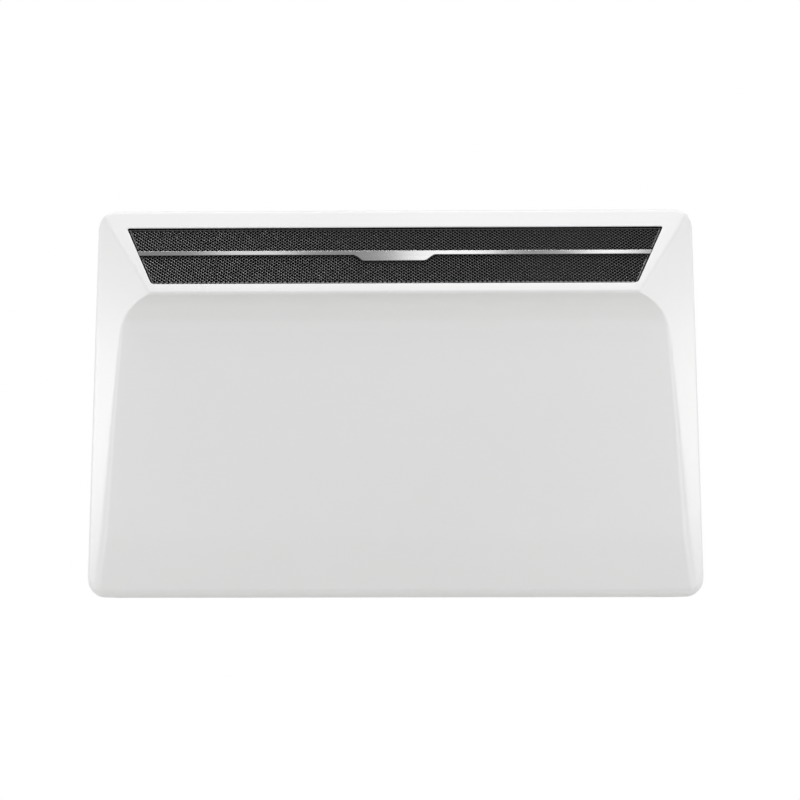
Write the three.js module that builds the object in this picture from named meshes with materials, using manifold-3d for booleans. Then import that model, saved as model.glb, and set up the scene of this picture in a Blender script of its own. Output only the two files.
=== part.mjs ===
// Wall panel convector heater: a pressed steel casing with an overhanging visor, a mesh air outlet,
// a finned heating element between two heat shields, side controls and a hook-on wall bracket.
// Millimetres, +Z up, -Y towards the room, +X to the right of someone facing the heater.
// The origin is the middle of the bracket's wall face, so the wall is the plane y = 0.

import * as THREE from "three";
import { mergeVertices } from "three/addons/utils/BufferGeometryUtils.js";
import Module from "manifold-3d";

// ---------------------------------------------------------------- casing
const casingWidth = 640;
const casingHeight = 413;
const cornerRadius = 21; // front view corners
const casingSheet = 1;
const standOff = 20; // wall to the rear cover's outer face
const mountHeight = 220; // bracket centre above the casing's underside

// Depths are measured from the wall, heights from the casing's underside.
const sideDepth = 64; // where the straight side walls end and the flanks start
const flankRun = 1.35; // flank's sideways run for each millimetre of depth
const flankRadius = 9;
const footDepth = 73.5; // front panel at the underside
const footRadius = 9;
const kneeHeight = 62;
const kneeDepth = 79.6;
const kneeRadius = 150;
const coveDrop = 11.5; // from the ridge down to where panel and undercut would meet
const coveDepth = 90.4;
const coveRadius = 36;
const visorRise = 102; // from the ridge up to the casing's top
const ridgeDepth = 114;
const ridgeRadius = 3;
const crownDepth = 65.8; // visor's top edge
const crownRadius = 5;
const rearLip = 13; // width of the casing's turned-in rear edge
const noseReach = 5; // flanks run on past the ridge, so that only the profile ends the front

// ---------------------------------------------------------------- air outlet in the visor
const outletBottom = 12.5; // from the ridge, up the slope of the visor
const outletTopMargin = 24.3; // from the opening to the visor's top edge
const outletSideBottom = 67.5; // from the casing's sides to the corners of the trapezoid opening
const outletSideTop = 34;
const outletRadiusBottom = 7;
const outletRadiusTop = 1.5;
const fitGap = 0.3; // between pieces that are fitted together
const frameRim = 0.8; // black edge seen round the mesh
const frameSetBack = 0.6;
const frameDepth = 4;
const frameFlange = 6; // frame's flange behind the sheet
const ribDepth = 7;
const ribThickness = 2.4;
const ribPitch = 56;
const meshSetBack = 1.6;
const meshThickness = 1;
const meshMargin = 3;
const meshPitch = 24; // between openings side by side
const meshRise = 18.6; // between openings one above another, with a row between them
const meshStrand = 3; // metal left between openings
const trimWidth = 5.8; // trim strip, lying on the middle of the mesh
const tabDrop = 8; // the wider tab in the strip's middle hangs below it
const tabHalfTop = 41.3;
const tabHalfBottom = 33.3;
const tabRadius = 4;

// ---------------------------------------------------------------- rear cover and its screws
const coverSheet = 1;
const coverMargin = 2;
const screwInset = 8;
const innerScrewAcross = 99.2; // cover screws on both sides of the middle, at top and bottom
const outerScrewInset = 32; // and towards the corners, from the casing's sides
const screwHoleRadius = 2.1;
const screwShankRadius = 1.7;
const screwHeadRadius = 3.8;
const screwHeadHeight = 2.4;
const screwLength = 8;
const inletSlotWidth = 5;
const inletSlotHeight = 26;
const inletSlotPitch = 17;
const inletSlotMargin = 80; // from the casing's sides
const inletSlotBase = 30;
const spacerRadius = 9;
const spacerChamfer = 2;
const spacerNeck = 3; // rubber neck pushed through the cover
const spacerBarb = 1;
const spacerBarbLength = 4;
const spacerInset = 50; // from the casing's sides
const spacerUp = 26;

// ---------------------------------------------------------------- wall bracket
const bracketWidth = 300;
const bracketHeight = 190;
const bracketSheet = 2;
const windowWidth = 74;
const windowHeight = 96;
const windowAcross = 62;
const windowRadius = 8;
const wallSlotLength = 16;
const wallSlotWidth = 7;
const wallSlotAcross = 125;
const wallSlotUp = 68;
const hookAcross = 110;
const hookWidth = 14;
const hookThroat = 2.8; // between the rear cover's inner face and the hook's tip
const hookPlay = 3; // slot wider than its hook
const hookTip = 9;
const liftTravel = 11; // raises the casing clear of the hook tips

// ---------------------------------------------------------------- heating element and shields
const elementMarginLeft = 75; // from the casing's side to the fins
const elementMarginRight = 115; // leaves room for the controls
const elementDepth = 51;
const elementHeight = 105;
const coreRadius = 7;
const armLength = 34;
const armThickness = 3;
const armLean = 30; // degrees from upright
const finGap = 8;
const finPitch = 18;
const finRoot = 13; // solid metal left round the core
const bushRadius = 10;
const bushLength = 9;
const bushCollar = 13;
const bushCollarLength = 3;
const boreFit = 0.2; // between a core or shaft and what is pushed onto it
const elementStub = 15; // core beyond the fins at each end
const supportSheet = 1.5;
const supportHeight = 92;
const supportFlange = 14;
const supportGap = 7; // between the fins and each support
const shieldSheet = 0.8;
const deflectorDepth = 29;
const deflectorFootHeight = 14;
const deflectorBase = 60;
const deflectorKick = 6; // height in which the sheet leaves the rear cover
const deflectorTurn = 101; // from the start of the bend up to the casing's top
const deflectorReach = 50;
const deflectorFlange = 8; // top edge, flat under the casing's top
const deflectorMarginLeft = 30; // from the casing's sides
const deflectorMarginRight = 72;
const deflectorScrewInset = 19;
const frontShieldDepth = 72;
const frontShieldSkirt = 39; // from the element's axis down to the shield's lower edge
const frontShieldDrop = 49; // from the ridge down to the shield's upper edge
const terminalRadius = 2;
const terminalLength = 14;
const nutRadius = 4.4;
const nutHeight = 3;
const cutoutInset = 35; // from the fins' right end
const cutoutUp = 176;
const cutoutRadius = 8.5;
const cutoutHeight = 7;
const cutoutPlateWidth = 40;
const cutoutPlateHeight = 14;
const cutoutPlateRadius = 4;
const cutoutScrewInset = 5;
const bladeAcross = 4; // cut-out's two blades, either side of its middle
const bladeWidth = 6;
const bladeLength = 6;
const bladeThickness = 1;
const smallShank = 1.2;
const smallHole = 1.5;
const smallHead = 2.6;
const smallScrewLength = 4;
const supportScrewUp = 36; // from the element's axis
const supportScrewLength = 7;

// ---------------------------------------------------------------- controls in the right side wall
const controlBase = 68; // lower edge of the opening
const controlLength = 116;
const controlNear = 26; // opening's edges, measured from the wall
const controlFar = 56;
const controlRadius = 4;
const trayRecess = 12.5;
const trayWall = 1.6;
const trayFlange = 3;
const controlBoxDepth = 42;
const controlBoxWall = 1.8;
const controlBoxLap = 1; // beyond the opening's edges
const knobUp = 84; // above the opening's lower edge
const knobRadius = 12;
const knobTaper = 0.6;
const knobClear = 0.5; // above the tray's floor
const knobSocket = 0.8; // depth of the shaft's seat
const knobSkirt = 3;
const knobGrip = 7.5;
const knobGripWidth = 6;
const knobGripInset = 1;
const knobGripRadius = 2.5;
const shaftRadius = 3;
const shaftHole = 3.1;
const thermostatSize = 24;
const thermostatThickness = 16;
const thermostatFloor = 3; // left behind the shaft's end
const switchUp = 30;
const switchWidth = 15;
const switchLength = 22;
const switchBezel = 1.8;
const switchBezelRadius = 1.5;
const switchBodyWidth = 12;
const switchBodyLength = 19;
const switchBodyDepth = 18;
const rockerWidth = 9.4;
const rockerLength = 16;
const rockerSideGap = 0.3;
const rockerEndGap = 0.6;
const rockerEdge = 1.5; // the rocker's thickness each side of its pivot, at its ends
const rockerWaist = 2.4; // above the pivot in its middle
const rockerRoot = 3.2; // below the pivot in its middle
const rockerTilt = 8; // degrees each side of level
const wellDepth = 6; // hollow under the rocker
const pivotDrop = 0.5; // below the tray's floor
const pivotRadius = 1.2;
const pivotHole = 1.3;
const pinReach = 0.8; // the rocker's pin enters each wall of the switch
const bearingReach = 1.1;
const glandFromBox = 12.4; // from the control box's inner end to the gland's axis
const glandBore = 4.3;
const glandRadius = 7;
const glandFlange = 9.5;
const glandLip = 0.9; // flange under the casing
const glandNut = 5;
const glandNeck = 2;
const glandLength = 14; // above the grille
const leadRadius = 1.5;
const leadSections = 2;
const leadBend = 5; // the leads' bends are laid out in this length
const leadFloor = 24; // height of the lead's run along the bottom
const blockUp = 26; // terminal block, above the opening's lower edge
const blockPoles = 3;
const blockPitch = 7;
const blockHeight = 16;
const blockDepth = 9;
const blockFoot = 4;
const blockGap = 1; // round each pole
const lineLeadUp = 12; // leads' holes into the control box
const loadLeadUp = 92;

// ---------------------------------------------------------------- inlet grille in the underside
const lipUnder = 8; // width of the casing's turned-in bottom edge
const inletSheet = 1;
const ventLength = 22;
const ventWidth = 5;
const ventPitch = 30;
const ventMargin = 40; // from the ends of the casing's underside opening
const ventInset = 9; // row's middle from the opening's long edges

// Angles covered by one facet of a round stretch, on large radii and on small ones.
const facet = THREE.MathUtils.degToRad(20);
const smallFacet = THREE.MathUtils.degToRad(40);
const smallRadius = 9;

const wasm = await Module();
wasm.setup();

// ================================================================ shapes

// A closed outline through corners [x, y, radius]. A corner with a radius becomes an arc.
function outline(corners) {
  const points = [];
  corners.forEach(([x, y, radius = 0], i) => {
    const corner = new THREE.Vector2(x, y);
    const before = new THREE.Vector2(...corners.at(i - 1)).sub(corner).normalize();
    const after = new THREE.Vector2(...corners[(i + 1) % corners.length]).sub(corner).normalize();
    const half = Math.acos(THREE.MathUtils.clamp(before.dot(after), -1, 1)) / 2;
    if (radius < 0.05 || half > Math.PI / 2 - 0.005) {
      points.push(corner);
      return;
    }
    const middle = before.clone().add(after).setLength(radius / Math.sin(half)).add(corner);
    const from = before.multiplyScalar(radius / Math.tan(half)).add(corner).sub(middle);
    const to = after.multiplyScalar(radius / Math.tan(half)).add(corner).sub(middle);
    const turn = Math.atan2(from.cross(to), from.dot(to));
    const steps = Math.max(2, Math.ceil(Math.abs(turn) / (radius < smallRadius ? smallFacet : facet)));
    for (let k = 0; k <= steps; k++) {
      points.push(from.clone().rotateAround(new THREE.Vector2(), (turn * k) / steps).add(middle));
    }
  });
  return new THREE.Shape(points);
}

// The same corners moved inwards by a wall's thickness. Counter-clockwise corners only.
function inset(corners, wall) {
  const count = corners.length;
  return corners.map(([x, y, radius = 0], i) => {
    const [px, py] = corners[(i + count - 1) % count];
    const [nx, ny] = corners[(i + 1) % count];
    const into = new THREE.Vector2(x - px, y - py).normalize();
    const out = new THREE.Vector2(nx - x, ny - y).normalize();
    const bend = into.cross(out);
    const shift = wall / (1 + into.dot(out));
    return [
      x - (into.y + out.y) * shift,
      y + (into.x + out.x) * shift,
      Math.max(0, radius + (bend > 0 ? -wall : wall)) * (radius > 0 ? 1 : 0),
    ];
  });
}

function rectangle(width, height, radius = 0, x = 0, y = 0) {
  const [w, h] = [width / 2, height / 2];
  return [
    [x - w, y - h, radius],
    [x + w, y - h, radius],
    [x + w, y + h, radius],
    [x - w, y + h, radius],
  ];
}

// A regular polygon with its first corner on +x.
function polygon(sides, radius, x = 0, y = 0) {
  return Array.from({ length: sides }, (_, i) => {
    const angle = (2 * Math.PI * i) / sides;
    return [x + radius * Math.cos(angle), y + radius * Math.sin(angle)];
  });
}

// ================================================================ solids

function solid(geometry) {
  const bare = geometry.clone();
  bare.deleteAttribute("normal");
  bare.deleteAttribute("uv");
  const merged = mergeVertices(bare, 1e-4);
  return new wasm.Manifold(
    new wasm.Mesh({
      numProp: 3,
      vertProperties: new Float32Array(merged.attributes.position.array),
      triVerts: new Uint32Array(merged.index.array),
    }),
  );
}

function geometryOf(body) {
  const mesh = body.getMesh();
  const geometry = new THREE.BufferGeometry();
  geometry.setAttribute("position", new THREE.BufferAttribute(mesh.vertProperties, 3));
  geometry.setIndex(new THREE.BufferAttribute(mesh.triVerts, 1));
  const flat = geometry.toNonIndexed();
  flat.computeVertexNormals();
  return flat;
}

const X = new THREE.Vector3(1, 0, 0);
const Y = new THREE.Vector3(0, 1, 0);
const Z = new THREE.Vector3(0, 0, 1);

function extrude(corners, length, matrix) {
  const settings = { depth: length, bevelEnabled: false, curveSegments: 1 };
  const geometry = new THREE.ExtrudeGeometry(outline(corners), settings);
  return solid(geometry.applyMatrix4(matrix));
}

// Corners are [y, z], carried along X from one place to another.
const alongX = (corners, from, to) =>
  extrude(corners, to - from, new THREE.Matrix4().makeBasis(Y, Z, X).setPosition(from, 0, 0));

// Corners are [x, z], carried from one depth to another, so towards -Y.
function alongDepth(corners, from, to) {
  const turn = new THREE.Matrix4().makeBasis(X, Z, Y.clone().negate());
  return extrude(corners, to - from, turn.setPosition(0, -from, 0));
}

// Corners are [x, y], carried up from one height to another.
const alongZ = (corners, from, to) =>
  extrude(corners, to - from, new THREE.Matrix4().setPosition(0, 0, from));

const block = (x0, x1, near, far, z0, z1) =>
  alongZ([[x0, -far], [x1, -far], [x1, -near], [x0, -near]], z0, z1);

// A turned piece: profile points [radius, length] about an axis through a place.
function turned(profile, segments, axis, place) {
  const geometry = new THREE.LatheGeometry(profile.map(([r, l]) => new THREE.Vector2(r, l)), segments);
  geometry.applyQuaternion(new THREE.Quaternion().setFromUnitVectors(Y, axis));
  geometry.translate(...place);
  return solid(geometry);
}

const cylinder = (radius, from, to, segments, axis, place) =>
  turned([[0, from], [radius, from], [radius, to], [0, to]], segments, axis, place);

const joined = (...bodies) => bodies.reduce((all, body) => all.add(body));
const cut = (body, ...tools) => tools.reduce((left, tool) => left.subtract(tool), body);

// ================================================================ finishes

const finish = (color, roughness, metalness = 0) =>
  new THREE.MeshStandardMaterial({ color, roughness, metalness });

const whiteEnamel = finish(0xe6e7e8, 0.28);
const blackPlastic = finish(0x17181a, 0.55);
const blackMesh = finish(0x1c1d1f, 0.42, 0.3);
const satinTrim = finish(0xb9bcbf, 0.3, 0.9);
const zincSteel = finish(0xb4b7b9, 0.42, 0.85);
const aluminium = finish(0xa9acb0, 0.45, 0.9);
const ceramic = finish(0xece6da, 0.5);
const greyRubber = finish(0x3b3d40, 0.85);
const greyPlastic = finish(0xc9cbce, 0.5);
const redSilicone = finish(0x8e2a22, 0.6);
const blueSilicone = finish(0x2b4f8c, 0.6);

const heater = new THREE.Group(); // everything, in the part's own frame
const casing = new THREE.Group(); // pieces that lift off the bracket, heights from the underside
casing.position.z = -mountHeight;
heater.add(casing);

function add(group, name, body, material) {
  const mesh = new THREE.Mesh(geometryOf(body), material);
  mesh.name = name;
  group.add(mesh);
}

// ================================================================ casing shell

const shellBack = standOff + coverSheet + fitGap;
const halfWidth = casingWidth / 2;
const middleHeight = casingHeight / 2;
const ridgeHeight = casingHeight - visorRise;

const sideProfile = [
  [-shellBack, casingHeight],
  [-crownDepth, casingHeight, crownRadius],
  [-ridgeDepth, ridgeHeight, ridgeRadius],
  [-coveDepth, ridgeHeight - coveDrop, coveRadius],
  [-kneeDepth, kneeHeight, kneeRadius],
  [-footDepth, 0, footRadius],
  [-shellBack, 0],
];
const frontOutline = rectangle(casingWidth, casingHeight, cornerRadius, 0, middleHeight);
const noseDepth = ridgeDepth + noseReach;
const flankInset = (noseDepth - sideDepth) * flankRun;
const planSection = [
  [-halfWidth, -shellBack],
  [-halfWidth, -sideDepth, flankRadius],
  [-halfWidth + flankInset, -noseDepth],
  [halfWidth - flankInset, -noseDepth],
  [halfWidth, -sideDepth, flankRadius],
  [halfWidth, -shellBack],
];

// The visor's own frame: x across, s up its slope from the ridge, n out of its face.
const visorLean = Math.atan((ridgeDepth - crownDepth) / visorRise);
const visorLength = visorRise / Math.cos(visorLean);
const up = new THREE.Vector3(0, Math.sin(visorLean), Math.cos(visorLean));
const outward = new THREE.Vector3().crossVectors(X, up);
const visorFrame = new THREE.Matrix4()
  .makeBasis(X, up, outward)
  .setPosition(0, -ridgeDepth, ridgeHeight);

// Corners are [x, s]; the piece runs between two levels n of the visor's normal.
function onVisor(corners, from, to) {
  const level = new THREE.Matrix4().setPosition(0, 0, from);
  return extrude(corners, to - from, visorFrame.clone().multiply(level));
}

const outletTop = visorLength - outletTopMargin;
const outletMiddle = (outletBottom + outletTop) / 2;
const outletHalfBottom = halfWidth - outletSideBottom;
const outletHalfTop = halfWidth - outletSideTop;
const trimLow = outletMiddle;
const trimHigh = trimLow + trimWidth;
const outletOpening = [
  [-outletHalfBottom, outletBottom, outletRadiusBottom],
  [outletHalfBottom, outletBottom, outletRadiusBottom],
  [outletHalfTop, outletTop, outletRadiusTop],
  [-outletHalfTop, outletTop, outletRadiusTop],
];

function shellSolid(wall) {
  const through = casingWidth; // longer than the casing is in any direction it is used
  const profile = alongX(inset(sideProfile, wall), -through, through);
  const front = alongDepth(inset(frontOutline, wall), 0, through);
  const plan = alongZ(inset(planSection, wall), -through, through);
  return profile.intersect(front).intersect(plan);
}

const coverScrews = [-1, 1].flatMap((side) => [
  [side * (halfWidth - screwInset), middleHeight],
  ...[innerScrewAcross, halfWidth - outerScrewInset].flatMap((across) =>
    [screwInset, casingHeight - screwInset].map((height) => [side * across, height]),
  ),
]);
const screwHoles = (from, to) =>
  coverScrews.map(([x, z]) => alongDepth(polygon(8, screwHoleRadius, x, z), from, to));

const controlMiddle = controlBase + controlLength / 2;
const controlDepth = (controlNear + controlFar) / 2;
const controlWidth = controlFar - controlNear;
const controlOpening = rectangle(
  controlWidth,
  controlLength,
  controlRadius,
  -controlDepth,
  controlMiddle,
);

const underFront = footDepth - footRadius - lipUnder;
const underBack = shellBack + lipUnder;
const underHalf = halfWidth - cornerRadius - lipUnder;
const grilleLap = lipUnder - 2; // grille's edge behind the casing's lip

function makeCasing() {
  const rearOpening = rectangle(
    casingWidth - 2 * rearLip,
    casingHeight - 2 * rearLip,
    cornerRadius - rearLip,
    0,
    middleHeight,
  );
  const shell = cut(
    shellSolid(0),
    shellSolid(casingSheet),
    alongDepth(rearOpening, shellBack - 1, shellBack + casingSheet + 1),
    onVisor(outletOpening, -8, 4),
    alongX(controlOpening, halfWidth - 8, halfWidth + 2),
    block(-underHalf, underHalf, underBack, underFront, -1, casingSheet + 1),
    ...screwHoles(shellBack - 1, shellBack + casingSheet + 1),
  );
  add(casing, "front_casing", shell, whiteEnamel);
}

// ================================================================ air outlet

// The opening made smaller by a clearance, or larger with a negative one.
const outletInset = (gap) => inset(outletOpening, gap);

// Half width of the opening, measured at a height up the visor's slope.
function outletHalf(s) {
  const share = (s - outletBottom) / (outletTop - outletBottom);
  return THREE.MathUtils.lerp(outletHalfBottom, outletHalfTop, share);
}

function makeOutletFrame() {
  const rim = onVisor(outletInset(fitGap), -frameDepth, -frameSetBack);
  const flangeBack = onVisor(outletInset(-frameFlange), -frameDepth, -casingSheet - fitGap);
  const opening = onVisor(outletInset(fitGap + frameRim), -frameDepth - 1, 1);
  const border = cut(joined(rim, flangeBack), opening);
  const ribFront = -meshSetBack - meshThickness - fitGap;
  const ribBack = -ribDepth - frameDepth;
  const reach = Math.floor((outletHalfBottom - ribPitch / 3) / ribPitch);
  const ribs = Array.from({ length: 2 * reach + 1 }, (_, i) => {
    const x = (i - reach) * ribPitch;
    const rib = rectangle(ribThickness, outletTop - outletBottom, 0, x, outletMiddle);
    return onVisor(rib, ribBack, ribFront);
  });
  const barMiddle = (trimLow + trimHigh) / 2;
  const bar = onVisor(
    rectangle(2 * outletHalf(trimLow) - 2 * fitGap, ribThickness, 0, 0, barMiddle),
    ribBack + 2,
    ribFront,
  );
  add(casing, "outlet_frame", joined(border, bar, ...ribs), blackPlastic);
}

function makeOutletMesh() {
  const border = outletInset(fitGap + frameRim + fitGap);
  const sheet = onVisor(border, -meshSetBack - meshThickness, -meshSetBack);
  const [halfPitch, halfRise] = [meshPitch / 2, meshRise / 2];
  const columns = Math.floor(outletHalfTop / halfPitch);
  const rows = Math.floor((outletTop - outletBottom) / meshRise);
  const low = outletBottom + frameRim + meshMargin + halfRise;
  const high = outletTop - frameRim - meshMargin - halfRise;
  const holes = [];
  for (let column = -columns; column <= columns; column++) {
    for (let row = -rows; row <= rows; row++) {
      const x = column * halfPitch;
      const s = outletMiddle + row * halfRise;
      const room = outletHalf(s - halfRise) - frameRim - meshMargin - halfPitch;
      if ((column + row) % 2 === 0 && s > low && s < high && Math.abs(x) < room) {
        const diamond = [[x + halfPitch, s], [x, s + halfRise], [x - halfPitch, s], [x, s - halfRise]];
        holes.push(onVisor(inset(diamond, meshStrand / 2), -meshSetBack - 2, -meshSetBack + 1));
      }
    }
  }
  const pattern = wasm.Manifold.union(holes);
  add(casing, "outlet_mesh", cut(sheet, pattern), blackMesh);
}

function makeTrimStrip() {
  const ends = (s) => outletHalf(s) - frameRim - 3 * fitGap;
  const strip = [
    [-ends(trimLow), trimLow],
    [-tabHalfTop, trimLow, tabRadius],
    [-tabHalfBottom, trimLow - tabDrop, tabRadius],
    [tabHalfBottom, trimLow - tabDrop, tabRadius],
    [tabHalfTop, trimLow, tabRadius],
    [ends(trimLow), trimLow],
    [ends(trimHigh), trimHigh],
    [-ends(trimHigh), trimHigh],
  ];
  add(casing, "trim_strip", onVisor(strip, -meshSetBack + fitGap, 0), satinTrim);
}

// ================================================================ rear cover, spacers and screws

const hookSeats = [bracketHeight / 2, bracketSheet - bracketHeight / 2];

function hookSlots() {
  return hookSeats.flatMap((seat) =>
    [-hookAcross, hookAcross].map((x) => {
      const top = mountHeight + seat + fitGap;
      const bottom = mountHeight + seat - bracketSheet - liftTravel - 1;
      const slot = rectangle(hookWidth + hookPlay, top - bottom, 0, x, (top + bottom) / 2);
      return alongDepth(slot, standOff - 1, standOff + coverSheet + 1);
    }),
  );
}

const spacerAcross = halfWidth - spacerInset;

function makeRearCover() {
  const plate = alongDepth(inset(frontOutline, coverMargin), standOff, standOff + coverSheet);
  const count = Math.floor((casingWidth - 2 * inletSlotMargin) / inletSlotPitch);
  const slots = Array.from({ length: count }, (_, i) => {
    const x = (i - (count - 1) / 2) * inletSlotPitch;
    const slot = rectangle(inletSlotWidth, inletSlotHeight, 0, x, inletSlotBase + inletSlotHeight / 2);
    return alongDepth(slot, standOff - 1, standOff + coverSheet + 1);
  });
  const holes = screwHoles(standOff - 1, standOff + coverSheet + 1);
  const neckHole = spacerNeck + 2 * fitGap;
  const necks = [-spacerAcross, spacerAcross].map((x) =>
    alongDepth(polygon(8, neckHole, x, spacerUp), standOff - 1, standOff + coverSheet + 1),
  );
  const foot = deflectorScrews.map(([x, z]) =>
    alongDepth(polygon(8, screwHoleRadius, x, z), standOff - 1, standOff + coverSheet + 1),
  );
  const cover = cut(plate, ...slots, ...hookSlots(), ...holes, ...necks, ...foot);
  add(casing, "rear_cover", cover, whiteEnamel);
}

function makeSpacers() {
  const inside = standOff + coverSheet + fitGap;
  const profile = [
    [0, 0],
    [spacerRadius - spacerChamfer, 0],
    [spacerRadius, spacerChamfer],
    [spacerRadius, standOff - fitGap],
    [spacerNeck, standOff - fitGap],
    [spacerNeck, inside],
    [spacerNeck + spacerBarb, inside],
    [spacerNeck - spacerBarb, inside + spacerBarbLength],
    [0, inside + spacerBarbLength],
  ];
  for (const [side, x] of [["left", -spacerAcross], ["right", spacerAcross]]) {
    const spacer = turned(profile, 16, Y.clone().negate(), [x, 0, spacerUp]);
    add(casing, `wall_spacer_${side}`, spacer, greyRubber);
  }
}

// A pan head screw whose head bears on a face; the shank runs along the axis.
function screw(axis, place, length, shank = screwShankRadius, head = screwHeadRadius) {
  const height = (screwHeadHeight * head) / screwHeadRadius;
  const profile = [
    [0, -height],
    [head * 0.8, -height],
    [head, 0],
    [shank, 0],
    [0, length],
  ];
  return turned(profile, 8, axis, place);
}

function makeCoverScrews() {
  coverScrews.forEach(([x, z], i) => {
    const body = screw(Y.clone().negate(), [x, -standOff + fitGap, z], screwLength);
    add(casing, `cover_screw_${i + 1}`, body, zincSteel);
  });
}

// ================================================================ inlet grille

const boxEnd = halfWidth - trayRecess - trayWall - fitGap; // control box, inside the side wall
const boxStart = boxEnd - controlBoxDepth;
const glandAcross = boxStart + glandFromBox;

function makeInletGrille() {
  const floor = casingSheet + fitGap;
  const plate = block(
    -underHalf - grilleLap,
    underHalf + grilleLap,
    underBack - grilleLap,
    underFront + grilleLap,
    floor,
    floor + inletSheet,
  );
  const rows = [underBack + ventInset, underFront - ventInset];
  const columns = 1 + Math.floor((2 * (underHalf - ventMargin) - ventLength) / ventPitch);
  const vents = Array.from({ length: columns }, (_, i) => (i - (columns - 1) / 2) * ventPitch)
    .flatMap((x) => rows.map((depth) => [x, depth]))
    .map(([x, depth]) =>
      alongZ(rectangle(ventLength, ventWidth, 0, x, -depth), floor - 1, floor + inletSheet + 1),
    );
  const glandHole = cylinder(glandRadius + fitGap, 0, 10, 12, Z, [glandAcross, -controlDepth, 0]);
  add(casing, "inlet_grille", cut(plate, ...vents, glandHole), whiteEnamel);
}

function makeGland() {
  const floor = casingSheet + fitGap;
  const top = floor + inletSheet + fitGap;
  const base = floor - fitGap - glandLip;
  const profile = [
    [glandBore, base],
    [glandFlange, base],
    [glandFlange, base + glandLip],
    [glandRadius, base + glandLip],
    [glandRadius, top],
    [glandFlange, top],
    [glandFlange, top + glandNut],
    [glandRadius, top + glandNut + glandNeck],
    [glandRadius, top + glandLength],
    [glandBore, top + glandLength],
    [glandBore, base],
  ];
  add(casing, "cord_gland", turned(profile, 12, Z, [glandAcross, -controlDepth, 0]), blackPlastic);
}

// ================================================================ heating element

const elementLeft = elementMarginLeft - halfWidth;
const elementRight = halfWidth - elementMarginRight;
const elementMiddle = (elementLeft + elementRight) / 2;
const elementPlace = [0, -elementDepth, elementHeight];
const coreLeft = elementLeft - elementStub;
const coreRight = elementRight + elementStub;

function makeElement() {
  const arms = [-armLean, armLean].map((degrees) => {
    const turn = new THREE.Matrix4().makeRotationX(THREE.MathUtils.degToRad(degrees));
    const place = new THREE.Matrix4().setPosition(...elementPlace);
    const along = new THREE.Matrix4().makeBasis(Y, Z, X).setPosition(elementLeft, 0, 0);
    const arm = rectangle(armThickness, 2 * armLength);
    return extrude(arm, elementRight - elementLeft, place.multiply(turn).multiply(along));
  });
  const core = cylinder(coreRadius, coreLeft, coreRight, 12, X, elementPlace);
  const root = cylinder(finRoot, -casingWidth, casingWidth, 6, X, elementPlace);
  const gaps = Math.floor((elementRight - elementLeft - finPitch) / finPitch);
  const first = elementMiddle - ((gaps - 1) * finPitch) / 2;
  const reach = armLength + 2;
  const gapTools = Array.from({ length: gaps }, (_, i) => {
    const x = first + i * finPitch;
    return block(
      x - finGap / 2,
      x + finGap / 2,
      elementDepth - reach,
      elementDepth + reach,
      elementHeight - reach,
      elementHeight + reach,
    );
  });
  const combs = cut(joined(...arms), wasm.Manifold.union(gapTools).subtract(root));
  add(casing, "heating_element", joined(combs, core), aluminium);
}

const supportLeft = elementLeft - supportGap;
const supportRight = elementRight + supportGap;
const supportNear = deflectorDepth + shieldSheet + fitGap;
const supportScrews = [
  [supportLeft, -1],
  [supportRight, 1],
].flatMap(([x, side]) =>
  [-supportScrewUp, supportScrewUp].map((z) => [
    x + (side * (supportSheet + supportFlange)) / 2,
    elementHeight + z,
  ]),
);

// Screws that hold the element's supports to the deflector, and the front shield to the supports.
function makeSupportScrews() {
  const rear = supportNear + supportSheet + fitGap;
  const front = frontShieldDepth + shieldSheet + fitGap;
  supportScrews.forEach(([x, z], i) => {
    add(casing, `support_screw_${i + 1}`, screw(Y, [x, -rear, z], supportScrewLength), zincSteel);
    add(casing, `shield_screw_${i + 1}`, screw(Y, [x, -front, z], supportScrewLength), zincSteel);
  });
}

// A folded sheet plate that carries one end of the element, with a flange at each edge.
function makeSupport(name, x, side) {
  const near = supportNear;
  const far = frontShieldDepth - fitGap;
  const low = elementHeight - supportHeight / 2;
  const high = elementHeight + supportHeight / 2;
  const face = Math.min(x, x + side * supportSheet);
  const flange = Math.min(x, x + side * supportFlange);
  const body = joined(
    block(face, face + supportSheet, near, far, low, high),
    block(flange, flange + supportFlange, near, near + supportSheet, low, high),
    block(flange, flange + supportFlange, far - supportSheet, far, low, high),
  );
  const hole = cylinder(bushRadius + fitGap, x - 5, x + 5, 16, X, elementPlace);
  const screws = supportScrews.map(([sx, sz]) =>
    alongDepth(polygon(8, screwHoleRadius, sx, sz), near - 1, far + 1),
  );
  add(casing, name, cut(body, hole, ...screws), zincSteel);
}

// A stepped ceramic bush between the element's core and its support.
function makeBush(name, x, side) {
  const profile = [
    [coreRadius + boreFit, -fitGap - bushCollarLength],
    [bushCollar, -fitGap - bushCollarLength],
    [bushCollar, -fitGap],
    [bushRadius, -fitGap],
    [bushRadius, bushLength - bushCollarLength],
    [coreRadius + boreFit, bushLength - bushCollarLength],
    [coreRadius + boreFit, -fitGap - bushCollarLength],
  ];
  const axis = X.clone().multiplyScalar(side);
  add(casing, name, turned(profile, 16, axis, [x, -elementDepth, elementHeight]), ceramic);
}

// A threaded stud with its nut, on the end of the element's core.
function makeTerminal(name, x, side) {
  const profile = [
    [0, fitGap],
    [nutRadius, fitGap],
    [nutRadius, nutHeight],
    [terminalRadius, nutHeight],
    [terminalRadius, terminalLength],
    [0, terminalLength],
  ];
  const axis = X.clone().multiplyScalar(side);
  add(casing, name, turned(profile, 6, axis, [x, -elementDepth, elementHeight]), zincSteel);
}

// ================================================================ heat shields and cut-out

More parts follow.
